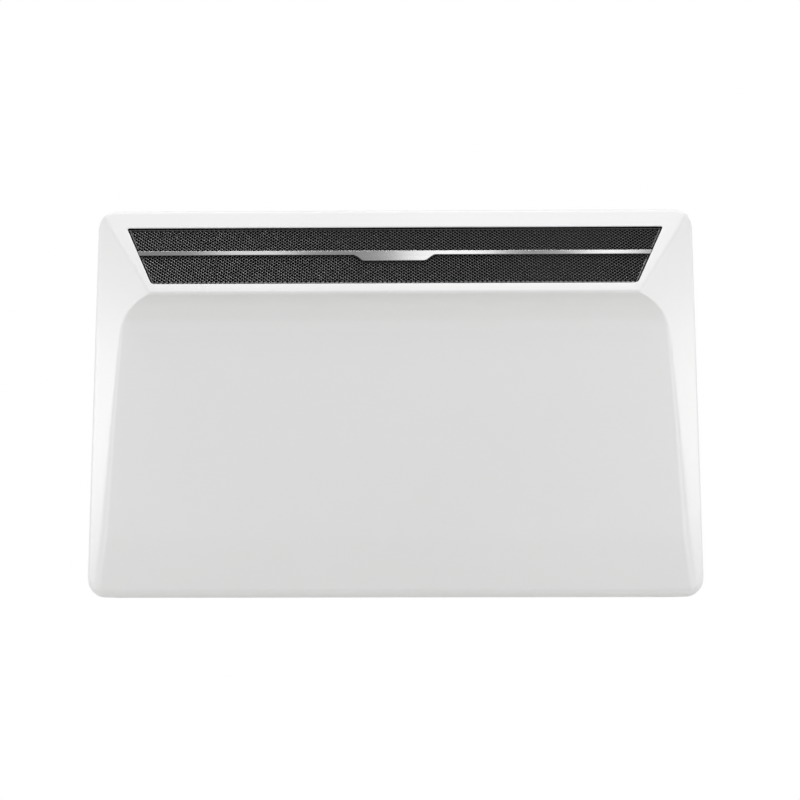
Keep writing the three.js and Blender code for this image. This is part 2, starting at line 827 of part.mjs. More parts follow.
const cutoutSeat = deflectorDepth + shieldSheet + fitGap;
const cutoutTip = cutoutSeat + cutoutHeight + bladeLength;
const cutoutAcross = elementRight - cutoutInset;
const cutoutScrews = [-1, 1].map((side) => [
  cutoutAcross + side * (cutoutPlateWidth / 2 - cutoutScrewInset),
  cutoutUp,
]);
const deflectorLeft = deflectorMarginLeft - halfWidth;
const deflectorRight = halfWidth - deflectorMarginRight;
const deflectorScrews = [
  deflectorLeft + deflectorScrewInset,
  (deflectorLeft + deflectorRight) / 2,
  deflectorRight - deflectorScrewInset,
].map((x) => [x, deflectorBase - deflectorFootHeight / 2]);

// A strip of sheet that follows a line of [depth, height] points, as a closed band.
function band(points, sheet) {
  const line = points.map(([depth, height]) => new THREE.Vector2(-depth, height));
  const normalAt = (i) => {
    const ahead = line[Math.min(i + 1, line.length - 1)];
    const behind = line[Math.max(i - 1, 0)];
    const along = ahead.clone().sub(behind).normalize();
    return new THREE.Vector2(-along.y, along.x);
  };
  const far = line.map((p, i) => p.clone().addScaledVector(normalAt(i), sheet));
  return [...line.map((p) => [p.x, p.y]), ...far.reverse().map((p) => [p.x, p.y])].reverse();
}

function makeDeflector() {
  const foot = standOff + coverSheet + fitGap;
  const top = casingHeight - casingSheet - fitGap;
  const run = deflectorReach - deflectorDepth;
  const bend = casingHeight - deflectorTurn;
  const rise = top - bend;
  const sweep = Array.from({ length: 7 }, (_, i) => {
    const angle = (i / 6) * (Math.PI / 2);
    return [deflectorDepth + run * (1 - Math.cos(angle)), bend + rise * Math.sin(angle)];
  });
  const line = [
    [foot, deflectorBase - deflectorFootHeight],
    [foot, deflectorBase],
    [deflectorDepth, deflectorBase + deflectorKick],
    ...sweep,
    [deflectorReach + deflectorFlange, top],
  ];
  const sheet = alongX(band(line, shieldSheet), deflectorLeft, deflectorRight);
  const [near, far] = [foot - 1, deflectorDepth + shieldSheet + 1];
  const holes = [
    ...[...supportScrews, ...deflectorScrews].map(([x, z]) =>
      alongDepth(polygon(8, screwHoleRadius, x, z), near, far),
    ),
    ...cutoutScrews.map(([x, z]) => alongDepth(polygon(6, smallHole, x, z), near, far)),
  ];
  add(casing, "air_deflector", cut(sheet, ...holes), aluminium);
}

function makeDeflectorScrews() {
  deflectorScrews.forEach(([x, z], i) => {
    const body = screw(Y.clone().negate(), [x, -standOff + fitGap, z], supportScrewLength);
    add(casing, `deflector_screw_${i + 1}`, body, zincSteel);
  });
}

function makeFrontShield() {
  const sheet = block(
    supportLeft - supportFlange,
    supportRight + supportFlange,
    frontShieldDepth,
    frontShieldDepth + shieldSheet,
    elementHeight - frontShieldSkirt,
    ridgeHeight - frontShieldDrop,
  );
  const holes = supportScrews.map(([x, z]) =>
    alongDepth(polygon(8, screwHoleRadius, x, z), frontShieldDepth - 1, frontShieldDepth + 2),
  );
  add(casing, "front_heat_shield", cut(sheet, ...holes), aluminium);
}

function makeCutout() {
  const seat = cutoutSeat;
  const plate = alongDepth(
    rectangle(cutoutPlateWidth, cutoutPlateHeight, cutoutPlateRadius, cutoutAcross, cutoutUp),
    seat,
    seat + bladeThickness,
  );
  const can = cylinder(cutoutRadius, seat, seat + cutoutHeight, 16, Y.clone().negate(), [
    cutoutAcross,
    0,
    cutoutUp,
  ]);
  const blades = [-1, 1].map((side) =>
    alongDepth(
      rectangle(bladeThickness, bladeWidth, 0, cutoutAcross + side * bladeAcross, cutoutUp),
      seat + cutoutHeight - 1,
      cutoutTip,
    ),
  );
  const holes = cutoutScrews.map(([x, z]) =>
    alongDepth(polygon(6, smallHole, x, z), seat - 1, seat + 2),
  );
  add(casing, "thermal_cutout", cut(joined(plate, can, ...blades), ...holes), zincSteel);
  const head = seat + bladeThickness + fitGap;
  cutoutScrews.forEach(([x, z], i) => {
    const body = screw(Y, [x, -head, z], smallScrewLength, smallShank, smallHead);
    add(casing, `cutout_screw_${i + 1}`, body, zincSteel);
  });
}

// ================================================================ controls

const wallInside = halfWidth - casingSheet;
const trayFloor = halfWidth - trayRecess; // outer face of the tray's floor
const trayBack = trayFloor - trayWall;
const knobHeight = controlBase + knobUp;
const switchHeight = controlBase + switchUp;
const knobPlace = [0, -controlDepth, knobHeight];
const trayOuter = inset(controlOpening, fitGap);

function makeTray() {
  const walls = alongX(trayOuter, trayBack, halfWidth - fitGap);
  const seat = wallInside - fitGap;
  const flange = alongX(inset(controlOpening, -trayFlange), seat - trayWall, seat);
  const hollow = alongX(inset(trayOuter, trayWall), trayFloor, halfWidth + 1);
  const shaftWay = cylinder(shaftHole, trayBack - 1, trayFloor + 1, 16, X, knobPlace);
  const switchWay = alongX(
    rectangle(
      switchBodyWidth + 2 * fitGap,
      switchBodyLength + 2 * fitGap,
      0,
      -controlDepth,
      switchHeight,
    ),
    trayBack - 1,
    trayFloor + 1,
  );
  add(casing, "control_tray", cut(joined(walls, flange), hollow, shaftWay, switchWay), blackPlastic);
}

const boxOuter = inset(controlOpening, -controlBoxLap);

function makeControlBox() {
  const leadHoles = [lineLeadUp, loadLeadUp].map((height) =>
    alongX(
      polygon(8, leadRadius + 2 * fitGap, -controlDepth, controlBase + height),
      boxStart - 1,
      boxStart + controlBoxWall + 1,
    ),
  );
  const cordHole = cylinder(
    glandBore + 1,
    controlBase - 3,
    controlBase + controlBoxWall,
    12,
    Z,
    [glandAcross, -controlDepth, 0],
  );
  const box = cut(
    alongX(boxOuter, boxStart, boxEnd),
    alongX(inset(boxOuter, controlBoxWall), boxStart + controlBoxWall, boxEnd + 1),
    ...leadHoles,
    cordHole,
  );
  add(casing, "control_box", box, greyPlastic);
}

function makeThermostat() {
  const front = trayBack - fitGap;
  const back = front - thermostatThickness;
  const body = alongX(
    rectangle(thermostatSize, thermostatSize, 0, -controlDepth, knobHeight),
    back,
    front,
  );
  const bore = cylinder(shaftHole, back + thermostatFloor, front + 1, 16, X, knobPlace);
  add(casing, "thermostat", cut(body, bore), greyPlastic);
}

function makeKnob() {
  const base = trayFloor + knobClear;
  const skirtProfile = [
    [0, base + knobSocket],
    [shaftRadius + boreFit, base + knobSocket],
    [shaftRadius + boreFit, base],
    [knobRadius, base],
    [knobRadius - knobTaper, base + knobSkirt],
    [0, base + knobSkirt],
  ];
  const skirt = turned(skirtProfile, 24, X, knobPlace);
  const gripLength = 2 * (knobRadius - knobGripInset);
  const grip = alongX(
    rectangle(knobGripWidth, gripLength, knobGripRadius, -controlDepth, knobHeight),
    base + knobSkirt - 0.5,
    base + knobSkirt + knobGrip,
  );
  add(casing, "thermostat_knob", joined(skirt, grip), blackPlastic);
  const inner = trayBack - thermostatThickness + thermostatFloor;
  const shaft = cylinder(shaftRadius, inner, base + knobSocket - fitGap, 16, X, knobPlace);
  add(casing, "thermostat_shaft", shaft, zincSteel);
}

const pivotLevel = trayFloor - pivotDrop;

function makeSwitch() {
  const bezel = alongX(
    rectangle(switchWidth, switchLength, switchBezelRadius, -controlDepth, switchHeight),
    trayFloor + fitGap,
    trayFloor + fitGap + switchBezel,
  );
  const body = alongX(
    rectangle(switchBodyWidth, switchBodyLength, 0, -controlDepth, switchHeight),
    trayFloor - switchBodyDepth,
    trayFloor + fitGap + switchBezel / 2,
  );
  const well = alongX(
    rectangle(
      rockerWidth + 2 * rockerSideGap,
      rockerLength + 2 * rockerEndGap,
      0,
      -controlDepth,
      switchHeight,
    ),
    trayFloor - wellDepth,
    halfWidth,
  );
  const pivots = cylinder(pivotHole, -20, 20, 12, Y, [pivotLevel, -controlDepth, switchHeight]);
  const reach = alongX(
    rectangle(rockerWidth + 2 * bearingReach, 4 * pivotHole, 0, -controlDepth, switchHeight),
    pivotLevel - 2 * pivotHole,
    pivotLevel + 2 * pivotHole,
  );
  add(casing, "switch_body", cut(joined(bezel, body), well, pivots.intersect(reach)), blackPlastic);
}

function makeRocker() {
  const half = rockerLength / 2;
  const tilt = Math.tan(THREE.MathUtils.degToRad(rockerTilt));
  const place = new THREE.Matrix4()
    .makeTranslation(pivotLevel, -controlDepth, switchHeight)
    .multiply(new THREE.Matrix4().makeRotationY(THREE.MathUtils.degToRad(rockerTilt)));
  const side = [
    [half, -rockerEdge],
    [half, rockerEdge + half * tilt * 2],
    [0, rockerWaist],
    [-half, rockerEdge + half * tilt * 2],
    [-half, -rockerEdge],
    [0, -rockerRoot],
  ].map(([along, out]) => [out, along]);
  const turn = new THREE.Matrix4().makeBasis(X, Z, Y.clone().negate());
  const across = new THREE.Matrix4().setPosition(0, 0, -rockerWidth / 2);
  const rocker = extrude(side.reverse(), rockerWidth, place.clone().multiply(turn).multiply(across));
  const pinHalf = rockerWidth / 2 + pinReach;
  const pinPlace = [pivotLevel, -controlDepth, switchHeight];
  const pin = cylinder(pivotRadius, -pinHalf, pinHalf, 12, Y, pinPlace);
  add(casing, "power_rocker", joined(rocker, pin), blackPlastic);
}

// A ceramic block on the box's inner wall, with a raised housing for each pole.
function makeTerminalBlock() {
  const seat = boxStart + controlBoxWall + fitGap;
  const base = controlBase + blockUp;
  const half = (blockPoles * blockPitch) / 2;
  const [near, far] = [controlDepth - half, controlDepth + half];
  const foot = block(seat, seat + blockFoot, near, far, base, base + blockHeight);
  const poles = Array.from({ length: blockPoles }, (_, i) => {
    const depth = controlDepth + (i - (blockPoles - 1) / 2) * blockPitch;
    const reach = blockPitch / 2 - blockGap;
    return block(
      seat + blockFoot - 1,
      seat + blockDepth,
      depth - reach,
      depth + reach,
      base + blockGap,
      base + blockHeight - blockGap,
    );
  });
  add(casing, "terminal_block", joined(foot, ...poles), ceramic);
}

// ================================================================ inner leads

// A round lead through hand-placed points [x, depth, height], with as many sections between any two
// neighbours, so that they lie closer in its bends.
function lead(name, points, material) {
  const route = new THREE.CatmullRomCurve3(
    points.map(([x, depth, height]) => new THREE.Vector3(x, -depth, height)),
    false,
    "centripetal",
  );
  route.getUtoTmapping = (u) => u;
  const steps = leadSections * (points.length - 1);
  const section = outline(polygon(6, leadRadius));
  const geometry = new THREE.ExtrudeGeometry(section, { steps, extrudePath: route });
  add(casing, name, solid(geometry), material);
}

function makeLeads() {
  const bend = leadBend;
  const boxFace = boxStart + controlBoxWall;
  const rightEnd = coreRight + terminalLength + fitGap;
  const leftEnd = coreLeft - terminalLength - fitGap;
  const tip = cutoutTip + fitGap;
  const [lineHeight, loadHeight] = [controlBase + lineLeadUp, controlBase + loadLeadUp];
  lead(
    "lead_cutout",
    [
      [rightEnd, elementDepth, elementHeight],
      [rightEnd + bend, elementDepth, elementHeight],
      [rightEnd + 1.8 * bend, elementDepth + 0.4 * bend, elementHeight + 1.2 * bend],
      [rightEnd + 1.6 * bend, elementDepth + 0.8 * bend, elementHeight + 4.4 * bend],
      [rightEnd - 1.2 * bend, elementDepth + bend, elementHeight + 9.6 * bend],
      [cutoutAcross + 4.8 * bend, tip + 1.8 * bend, cutoutUp - 2 * bend],
      [cutoutAcross + 1.6 * bend, tip + 2 * bend, cutoutUp - 0.2 * bend],
      [cutoutAcross + bladeAcross, tip + 1.2 * bend, cutoutUp],
      [cutoutAcross + bladeAcross, tip, cutoutUp],
    ],
    redSilicone,
  );
  lead(
    "lead_right",
    [
      [cutoutAcross - bladeAcross, tip, cutoutUp],
      [cutoutAcross - bladeAcross, tip + bend, cutoutUp + 0.2 * bend],
      [cutoutAcross, tip + 1.8 * bend, cutoutUp + 2 * bend],
      [cutoutAcross + 6 * bend, tip + 0.8 * bend, cutoutUp + 4 * bend],
      [boxStart - 6 * bend, controlDepth, loadHeight + 1.6 * bend],
      [boxStart - 2 * bend, controlDepth, loadHeight],
      [boxFace, controlDepth, loadHeight],
    ],
    redSilicone,
  );
  const rear = standOff + coverSheet + bend;
  lead(
    "lead_left",
    [
      [boxFace, controlDepth, lineHeight],
      [boxStart - 1.2 * bend, controlDepth, lineHeight],
      [boxStart - 2.4 * bend, controlDepth - 0.2 * bend, lineHeight - bend],
      [boxStart - 3.2 * bend, controlDepth - 1.2 * bend, controlBase - 0.6 * bend],
      [boxStart - 3.6 * bend, rear + 0.4 * bend, leadFloor + 2.8 * bend],
      [boxStart - 6 * bend, rear, leadFloor + 0.2 * bend],
      [boxStart - 9.6 * bend, rear, leadFloor],
      [elementMiddle, rear, leadFloor],
      [leftEnd + 6 * bend, rear, leadFloor],
      [leftEnd + 1.6 * bend, rear + 0.4 * bend, leadFloor + 0.8 * bend],
      [leftEnd - 1.2 * bend, rear + 2 * bend, leadFloor + 4.8 * bend],
      [leftEnd - 1.8 * bend, elementDepth - 0.6 * bend, elementHeight - 5.2 * bend],
      [leftEnd - 1.8 * bend, elementDepth - 0.2 * bend, elementHeight - 1.2 * bend],
      [leftEnd - bend, elementDepth, elementHeight],
      [leftEnd, elementDepth, elementHeight],
    ],
    blueSilicone,
  );
}

// ================================================================ wall bracket

function makeBracket() {
  const windows = [-windowAcross, windowAcross].map((x) =>
    alongDepth(rectangle(windowWidth, windowHeight, windowRadius, x, 0), -1, bracketSheet + 1),
  );
  const wallSlots = [-1, 1].flatMap((side) =>
    [-1, 1].map((level) =>
      alongDepth(
        rectangle(
          wallSlotLength,
          wallSlotWidth,
          wallSlotWidth / 2 - 0.01,
          side * wallSlotAcross,
          level * wallSlotUp,
        ),
        -1,
        bracketSheet + 1,
      ),
    ),
  );
  const plate = alongDepth(rectangle(bracketWidth, bracketHeight, 0, 0, 0), 0, bracketSheet);
  const bearing = standOff - fitGap;
  const tipBack = standOff + coverSheet + hookThroat;
  const ledges = hookSeats.map((seat) =>
    block(-bracketWidth / 2, bracketWidth / 2, 0, bearing, seat - bracketSheet, seat),
  );
  const tipFront = tipBack + bracketSheet;
  const hooks = hookSeats.flatMap((seat) =>
    [-hookAcross, hookAcross].flatMap((middle) => {
      const [left, right] = [middle - hookWidth / 2, middle + hookWidth / 2];
      return [
        block(left, right, bearing - 1, tipFront, seat - bracketSheet, seat),
        block(left, right, tipBack, tipFront, seat - 1, seat + hookTip),
      ];
    }),
  );
  const body = joined(cut(plate, ...windows, ...wallSlots), ...ledges, ...hooks);
  add(heater, "wall_bracket", body, zincSteel);
}

// ================================================================ assembly

makeBracket();
makeCasing();
makeOutletFrame();
makeOutletMesh();
makeTrimStrip();
makeRearCover();
makeSpacers();
makeCoverScrews();
makeInletGrille();
makeGland();
makeElement();
makeSupport("element_support_left", supportLeft, -1);
makeSupport("element_support_right", supportRight, 1);
makeSupportScrews();
makeBush("ceramic_bush_left", supportLeft, -1);
makeBush("ceramic_bush_right", supportRight, 1);
makeTerminal("element_terminal_left", coreLeft, -1);
makeTerminal("element_terminal_right", coreRight, 1);
makeDeflector();
makeDeflectorScrews();
makeFrontShield();
makeCutout();
makeTray();
makeControlBox();
makeThermostat();
makeKnob();
makeSwitch();
makeRocker();
makeTerminalBlock();
makeLeads();

export default heater;
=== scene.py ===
# Wall panel convector heater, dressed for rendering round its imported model.
# Metres, +Z up, -Y towards the room, +X to the right of someone facing the heater.
# The wall is the plane y = 0, and the origin is the middle of the bracket on it.

import math

import bpy
import numpy as np
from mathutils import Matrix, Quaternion, Vector


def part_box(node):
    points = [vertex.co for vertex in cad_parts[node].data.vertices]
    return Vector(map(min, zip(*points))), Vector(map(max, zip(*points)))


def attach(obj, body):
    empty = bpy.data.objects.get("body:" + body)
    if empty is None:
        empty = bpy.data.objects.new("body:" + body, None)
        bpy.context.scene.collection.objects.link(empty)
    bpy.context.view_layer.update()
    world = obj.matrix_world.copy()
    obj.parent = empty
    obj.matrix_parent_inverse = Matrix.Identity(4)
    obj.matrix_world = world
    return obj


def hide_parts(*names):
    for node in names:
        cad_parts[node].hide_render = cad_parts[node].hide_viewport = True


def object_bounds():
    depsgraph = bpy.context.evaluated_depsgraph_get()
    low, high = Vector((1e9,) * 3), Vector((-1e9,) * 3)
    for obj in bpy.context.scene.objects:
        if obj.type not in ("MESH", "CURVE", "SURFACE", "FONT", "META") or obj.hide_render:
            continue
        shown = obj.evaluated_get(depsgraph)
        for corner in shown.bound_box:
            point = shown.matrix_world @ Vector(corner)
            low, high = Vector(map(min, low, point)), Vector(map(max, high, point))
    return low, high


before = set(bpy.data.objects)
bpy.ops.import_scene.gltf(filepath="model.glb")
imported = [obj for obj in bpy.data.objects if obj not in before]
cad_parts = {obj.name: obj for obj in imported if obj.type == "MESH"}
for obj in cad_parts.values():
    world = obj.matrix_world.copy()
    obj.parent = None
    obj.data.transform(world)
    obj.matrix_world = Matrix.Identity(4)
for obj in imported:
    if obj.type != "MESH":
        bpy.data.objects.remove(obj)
cad_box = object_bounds()
scene = bpy.context.scene

# ---------------------------------------------------------------- viewpoint
# Someone standing in front of the heater sees it from slightly below, as it hangs on the wall.
# The angle and the lens are those at which its outline falls on the photograph's.

camera_place = Vector((0.0195, -1.5292, -0.2328))
camera_target = Vector((0.0055, -0.07, -0.0147))
camera_roll = math.radians(-0.08)
focal_length, sensor_width = 63.12, 36
lens = bpy.data.cameras.new("camera")
lens.lens = focal_length
lens.sensor_width = sensor_width
camera = bpy.data.objects.new("camera", lens)
scene.collection.objects.link(camera)
camera.location = camera_place
camera.rotation_mode = "QUATERNION"
camera.rotation_quaternion = (camera_target - camera_place).to_track_quat("-Z", "Y")
camera.rotation_quaternion @= Quaternion((0, 0, 1), camera_roll)
scene.camera = camera
scene.view_settings.view_transform = "Standard"

# ---------------------------------------------------------------- studio
# A pale floor well below the heater, a white surround, and soft boxes: one over the visor, three
# narrow ones for the trim strip's bands, two at the sides for the flanks, two near the front corners,
# which let the panel grow lighter towards its sides, and a large one in front.


def linear(colour):
    """Turns an sRGB hex colour into linear red, green, blue and alpha."""
    parts = [int(colour[i : i + 2], 16) / 255 for i in (0, 2, 4)]
    return [c / 12.92 if c <= 0.04045 else ((c + 0.055) / 1.055) ** 2.4 for c in parts] + [1]


def add_node(owner, kind, inputs=(), feeds=None, **settings):
    """Adds one node with its settings. An input is a plain value, or the socket it comes from.
    The node's own result goes to the socket that it feeds, where one is given."""
    node = owner.node_tree.nodes.new("ShaderNode" + kind)
    for name, value in settings.items():
        setattr(node, name, value)
    for name, value in dict(inputs).items():
        if isinstance(value, bpy.types.NodeSocket):
            owner.node_tree.links.new(value, node.inputs[name])
        else:
            node.inputs[name].default_value = value
    if feeds:
        result = next(socket for socket in node.outputs if socket.enabled)
        owner.node_tree.links.new(result, feeds)
    return node


world = bpy.data.worlds.new("white studio")
world.use_nodes = True
world.node_tree.nodes.clear()
scene.world = world
seen = add_node(world, "LightPath")
straight_or_mirrored = add_node(
    world,
    "Math",
    {0: seen.outputs["Is Camera Ray"], 1: seen.outputs["Is Glossy Ray"]},
    operation="MAXIMUM",
)
shown_white = add_node(
    world,
    "Math",
    {0: straight_or_mirrored.outputs[0], 1: seen.outputs["Is Transmission Ray"]},
    operation="MAXIMUM",
)
# The studio is evenly lit in front of the heater and brighter behind it, where no lamp shines.
front_level, back_level = 0.4, 0.62
towards = add_node(world, "TexCoord")
depth_seen = add_node(world, "SeparateXYZ", {0: towards.outputs["Generated"]})
falloff = add_node(
    world,
    "MapRange",
    {"Value": depth_seen.outputs["Y"], "To Min": front_level, "To Max": back_level},
)
surround = add_node(
    world, "Background", {"Color": linear("ffffff"), "Strength": falloff.outputs[0]}
)
background = add_node(world, "Background", {"Color": linear("ffffff"), "Strength": 1})
studio_mix = add_node(
    world,
    "MixShader",
    {0: shown_white.outputs[0], 1: surround.outputs[0], 2: background.outputs[0]},
)
add_node(world, "OutputWorld", {"Surface": studio_mix.outputs[0]})


def add_mesh(name, points, faces, finish, smooth=True):
    """A mesh object at the origin, from points in millimetres and lists of corner numbers."""
    mesh = bpy.data.meshes.new(name)
    mesh.from_pydata((np.asarray(points) / 1000).tolist(), [], [list(face) for face in faces])
    mesh.materials.append(finish)
    mesh.polygons.foreach_set("use_smooth", np.full(len(mesh.polygons), smooth))
    mesh.update()
    piece = bpy.data.objects.new(name, mesh)
    scene.collection.objects.link(piece)
    return piece


def new_finish(name, colour, roughness, metallic=0.0):
    """A material with its main shader and the coordinates of the piece it is on."""
    finish = bpy.data.materials.new(name)
    finish.use_nodes = True
    shader = finish.node_tree.nodes["Principled BSDF"]
    shader.inputs["Base Color"].default_value = linear(colour)
    shader.inputs["Roughness"].default_value = roughness
    shader.inputs["Metallic"].default_value = metallic
    return finish, shader, add_node(finish, "TexCoord").outputs["Object"]


def follow(finish, shader, pattern, tones=None, gloss=None, relief=None):
    """Lets a finish follow a pattern that runs from 0 to 1: its colour between two tones, its
    roughness between two values, its surface by the strength and depth in metres of a relief."""
    height = pattern.outputs["Fac"]
    if tones:
        low, high = (linear(tone) for tone in tones)
        colour = shader.inputs["Base Color"]
        add_node(finish, "Mix", {0: height, 6: low, 7: high}, feeds=colour, data_type="RGBA")
    if gloss:
        levels = {"Value": height, "To Min": gloss[0], "To Max": gloss[1]}
        add_node(finish, "MapRange", levels, feeds=shader.inputs["Roughness"])
    if relief:
        heights = {"Height": height, "Strength": relief[0], "Distance": relief[1]}
        add_node(finish, "Bump", heights, feeds=shader.inputs["Normal"])


# Painted screed: pale and matt, uneven at the size of a trowel's stroke. Here and below, the size
# of a pattern is in millimetres.
mottle_size = 1000 / 3
floor_paint, floor_shader, floor_place = new_finish("pale floor paint", "ececea", 0.9)
floor_mottle = add_node(
    floor_paint, "TexNoise", {"Vector": floor_place, "Scale": 1000 / mottle_size, "Detail": 4}
)
follow(floor_paint, floor_shader, floor_mottle, tones=("e8e8e6", "f0f0ee"))

floor_height, floor_half, floor_back = -1000, 2500, 1200
floor_outline = [
    [-floor_half, -floor_half],
    [floor_half, -floor_half],
    [floor_half, floor_back],
    [-floor_half, floor_back],
]
floor = add_mesh(
    "floor", [[x, y, floor_height] for x, y in floor_outline], [[0, 1, 2, 3]], floor_paint
)


def add_soft_box(name, place, target, width, height, power):
    """A rectangular lamp at a place, facing a target; sizes in metres and power in watts."""
    lamp = bpy.data.lights.new(name, "AREA")
    lamp.shape = "RECTANGLE"
    lamp.size, lamp.size_y, lamp.energy = width, height, power
    box = bpy.data.objects.new(name, lamp)
    scene.collection.objects.link(box)
    box.location = place
    box.rotation_mode = "QUATERNION"
    box.rotation_quaternion = (Vector(target) - Vector(place)).to_track_quat("-Z", "Y")
    return box


middle = (0, -0.07, 0)
add_soft_box("top_box", (0, -0.3, 2.2), middle, 2.4, 0.17, 24)
for name, x, width, power in (
    ("band_left", -0.37, 0.2, 0.85),
    ("band_middle", 0.11, 0.24, 1.6),
    ("band_right", 0.5, 0.15, 1.05),
):
    add_soft_box(name, (x, -0.95, 1.9), (x, -0.1, 0.13), width, 0.5, power)
for side, name, power in ((-1, "left_box", 7.8), (1, "right_box", 6.8)):
    add_soft_box(name, (side * 2.2, -0.05, 0.2), middle, 0.9, 0.55, power)
for side, name, power in ((-1, "near_left_box", 1.9), (1, "near_right_box", 2.2)):
    add_soft_box(name, (side * 0.95, -0.75, 0.08), (side * 0.2, -0.08, 0), 0.35, 0.7, power)
add_soft_box("front_box", (0, -2.6, 0.05), middle, 2.4, 1.4, 9.8)

# ---------------------------------------------------------------- wall bracket
# A plate folded and stamped from 2 mm steel and zinc plated, screwed to the wall through four
# slots. Its four upturned hooks carry the whole heater.


def dress(finish, *nodes):
    """Gives CAD pieces a finish."""
    for name in nodes:
        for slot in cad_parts[name].material_slots:
            slot.material = finish


# Bright zinc plate on rolled steel: bluish grey, cloudy at the size of a fingertip, faintly grained.
# Its grain, like that of the other finishes, is drawn coarser than the real one so that it shows.
zinc_cloud_size, zinc_grain_size = 100 / 9, 5 / 7
zinc_plate, zinc_shader, zinc_place = new_finish("zinc plated steel", "b4b7b9", 0.4, 1)
zinc_cloud = add_node(
    zinc_plate, "TexNoise", {"Vector": zinc_place, "Scale": 1000 / zinc_cloud_size, "Detail": 3}
)
follow(zinc_plate, zinc_shader, zinc_cloud, tones=("a4a8ab", "c3c6c8"), gloss=(0.32, 0.5))
zinc_grain = add_node(
    zinc_plate, "TexNoise", {"Vector": zinc_place, "Scale": 1000 / zinc_grain_size, "Detail": 2}
)
follow(zinc_plate, zinc_shader, zinc_grain, relief=(0.25, 0.0002))
dress(
    zinc_plate,
    "wall_bracket",
    "element_support_left",
    "element_support_right",
    "element_terminal_left",
    "element_terminal_right",
    "thermal_cutout",
    "thermostat_shaft",
    *[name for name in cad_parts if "_screw_" in name],
)

# ---------------------------------------------------------------- front casing
# One shell pressed from 1 mm steel sheet and coated with white enamel. A leaning visor overhangs
# a hollow-fronted panel, and splayed flanks run down both sides, sharp at the top and soft below.

half_width, casing_height, corner_radius = 320, 413, 21
mount_height = 220
side_depth, flank_run = 64, 1.35
shell_back, rear_lip = 21.3, 13
sheet = 1
ridge_depth, ridge_height, crown_depth = 114, 311, 65.8
visor_rise = casing_height - ridge_height
visor_lean = math.atan((ridge_depth - crown_depth) / visor_rise)
visor_up = np.array([0, math.sin(visor_lean), math.cos(visor_lean)])
visor_out = np.array([0, -math.cos(visor_lean), math.sin(visor_lean)])
outlet_low, outlet_high = 12.5, visor_rise / math.cos(visor_lean) - 24.3
outlet_half_low, outlet_half_high = 252.5, 286
outlet_spread = (outlet_half_high - outlet_half_low) / (outlet_high - outlet_low)


def rounded_line(corners, step=4):
    """A line through corners [x, y, radius], with an arc of short chords in place of each corner."""
    line = [np.array(corners[0][:2], float)]
    for before, corner, after in zip(corners, corners[1:], corners[2:]):
        place = np.array(corner[:2], float)
        back = np.array(before[:2]) - place
        ahead = np.array(after[:2]) - place
        back, ahead = back / np.linalg.norm(back), ahead / np.linalg.norm(ahead)
        half = math.acos(np.clip(back @ ahead, -1, 1)) / 2
        centre = place + (back + ahead) / np.linalg.norm(back + ahead) * corner[2] / math.sin(half)
        start = place + back * corner[2] / math.tan(half) - centre
        end = place + ahead * corner[2] / math.tan(half) - centre
        turn = math.atan2(start[0] * end[1] - start[1] * end[0], start @ end)
        angles = np.linspace(0, turn, 2 + int(abs(math.degrees(turn)) / step))
        cos, sin = np.cos(angles), np.sin(angles)
        arc = np.stack([start[0] * cos - start[1] * sin, start[0] * sin + start[1] * cos], 1)
        line += list(centre + arc)
    return np.array(line + [np.array(corners[-1][:2], float)])


# Depth of the front over its height, from the underside to the top.
front_profile = rounded_line(
    [
        (73.5, 0),
        (79.6, 62, 150),
        (90.4, 299.5, 36),
        (ridge_depth, ridge_height, 3),
        (crown_depth, casing_height),
    ]
)


def edge_distance(x, height):
    """How far a place lies inside the front view's rounded rectangle, and how sideways the
    nearest edge faces: 1 at the sides, 0 at top and bottom, between them in the corners."""
    over_x = np.abs(x) - (half_width - corner_radius)
    over_z = np.abs(height - casing_height / 2) - (casing_height / 2 - corner_radius)
    in_corner = (over_x > 0) & (over_z > 0)
    reach = np.where(in_corner, np.hypot(over_x, over_z), np.maximum(over_x, over_z))
    sideways = np.where(
        in_corner, over_x**2 / np.maximum(over_x**2 + over_z**2, 1e-9), over_x > over_z
    )
    return corner_radius - reach, sideways


# The front stands out no further than the solids do.
deepest = -cad_box[0][1] * 1000
# The panel's sinking beside the crease, and how wide the crease is rounded, over the height.
sag_heights, sag_depths = [20, 100, 190, 260, 285], [0.9, 1.1, 1.1, 0.6, 0]
sag_reach, sag_limit = 15, 12
crease_heights, crease_softness = [60, 180, 255, 290], [4, 2.4, 2, 1.5]
# How far the outer edge falls back, and over what band, at the sides, the top and the underside.
side_fall, top_fall, foot_fall = 4.2, 3.2, 8.2
side_band, top_band, foot_band = 4.6, 2.9, 8.1


def front_depth(x, height):
    """The lower of the front profile and the splayed flank, run into each other over a narrow
    stretch, less the rounding of the outer edge. Down the panel the profile sinks towards the
    flank, more than twice as much with every 15 mm nearer, so the crease is softer on that side."""
    profile = np.interp(height, front_profile[:, 1], front_profile[:, 0])
    flank = side_depth + (half_width - np.abs(x)) / flank_run
    sag = np.interp(height, sag_heights, sag_depths)
    crease = half_width - (profile - side_depth) * flank_run
    profile = profile - sag * np.exp(np.minimum(np.abs(x) - crease, sag_limit) / sag_reach)
    softness = np.interp(height, crease_heights, crease_softness)
    overlap = np.clip(1 - np.abs(profile - flank) / softness, 0, 1)
    depth = np.minimum(profile, flank) - overlap**2 * softness / 4
    distance, sideways = edge_distance(x, height)
    upper = height > casing_height / 2
    fall = sideways * side_fall + (1 - sideways) * np.where(upper, top_fall, foot_fall)
    band = sideways * side_band + (1 - sideways) * np.where(upper, top_band, foot_band)
    inner = np.clip(1 - distance / band, 0, 1)
    return depth - fall * (1 - np.sqrt(1 - inner**2))


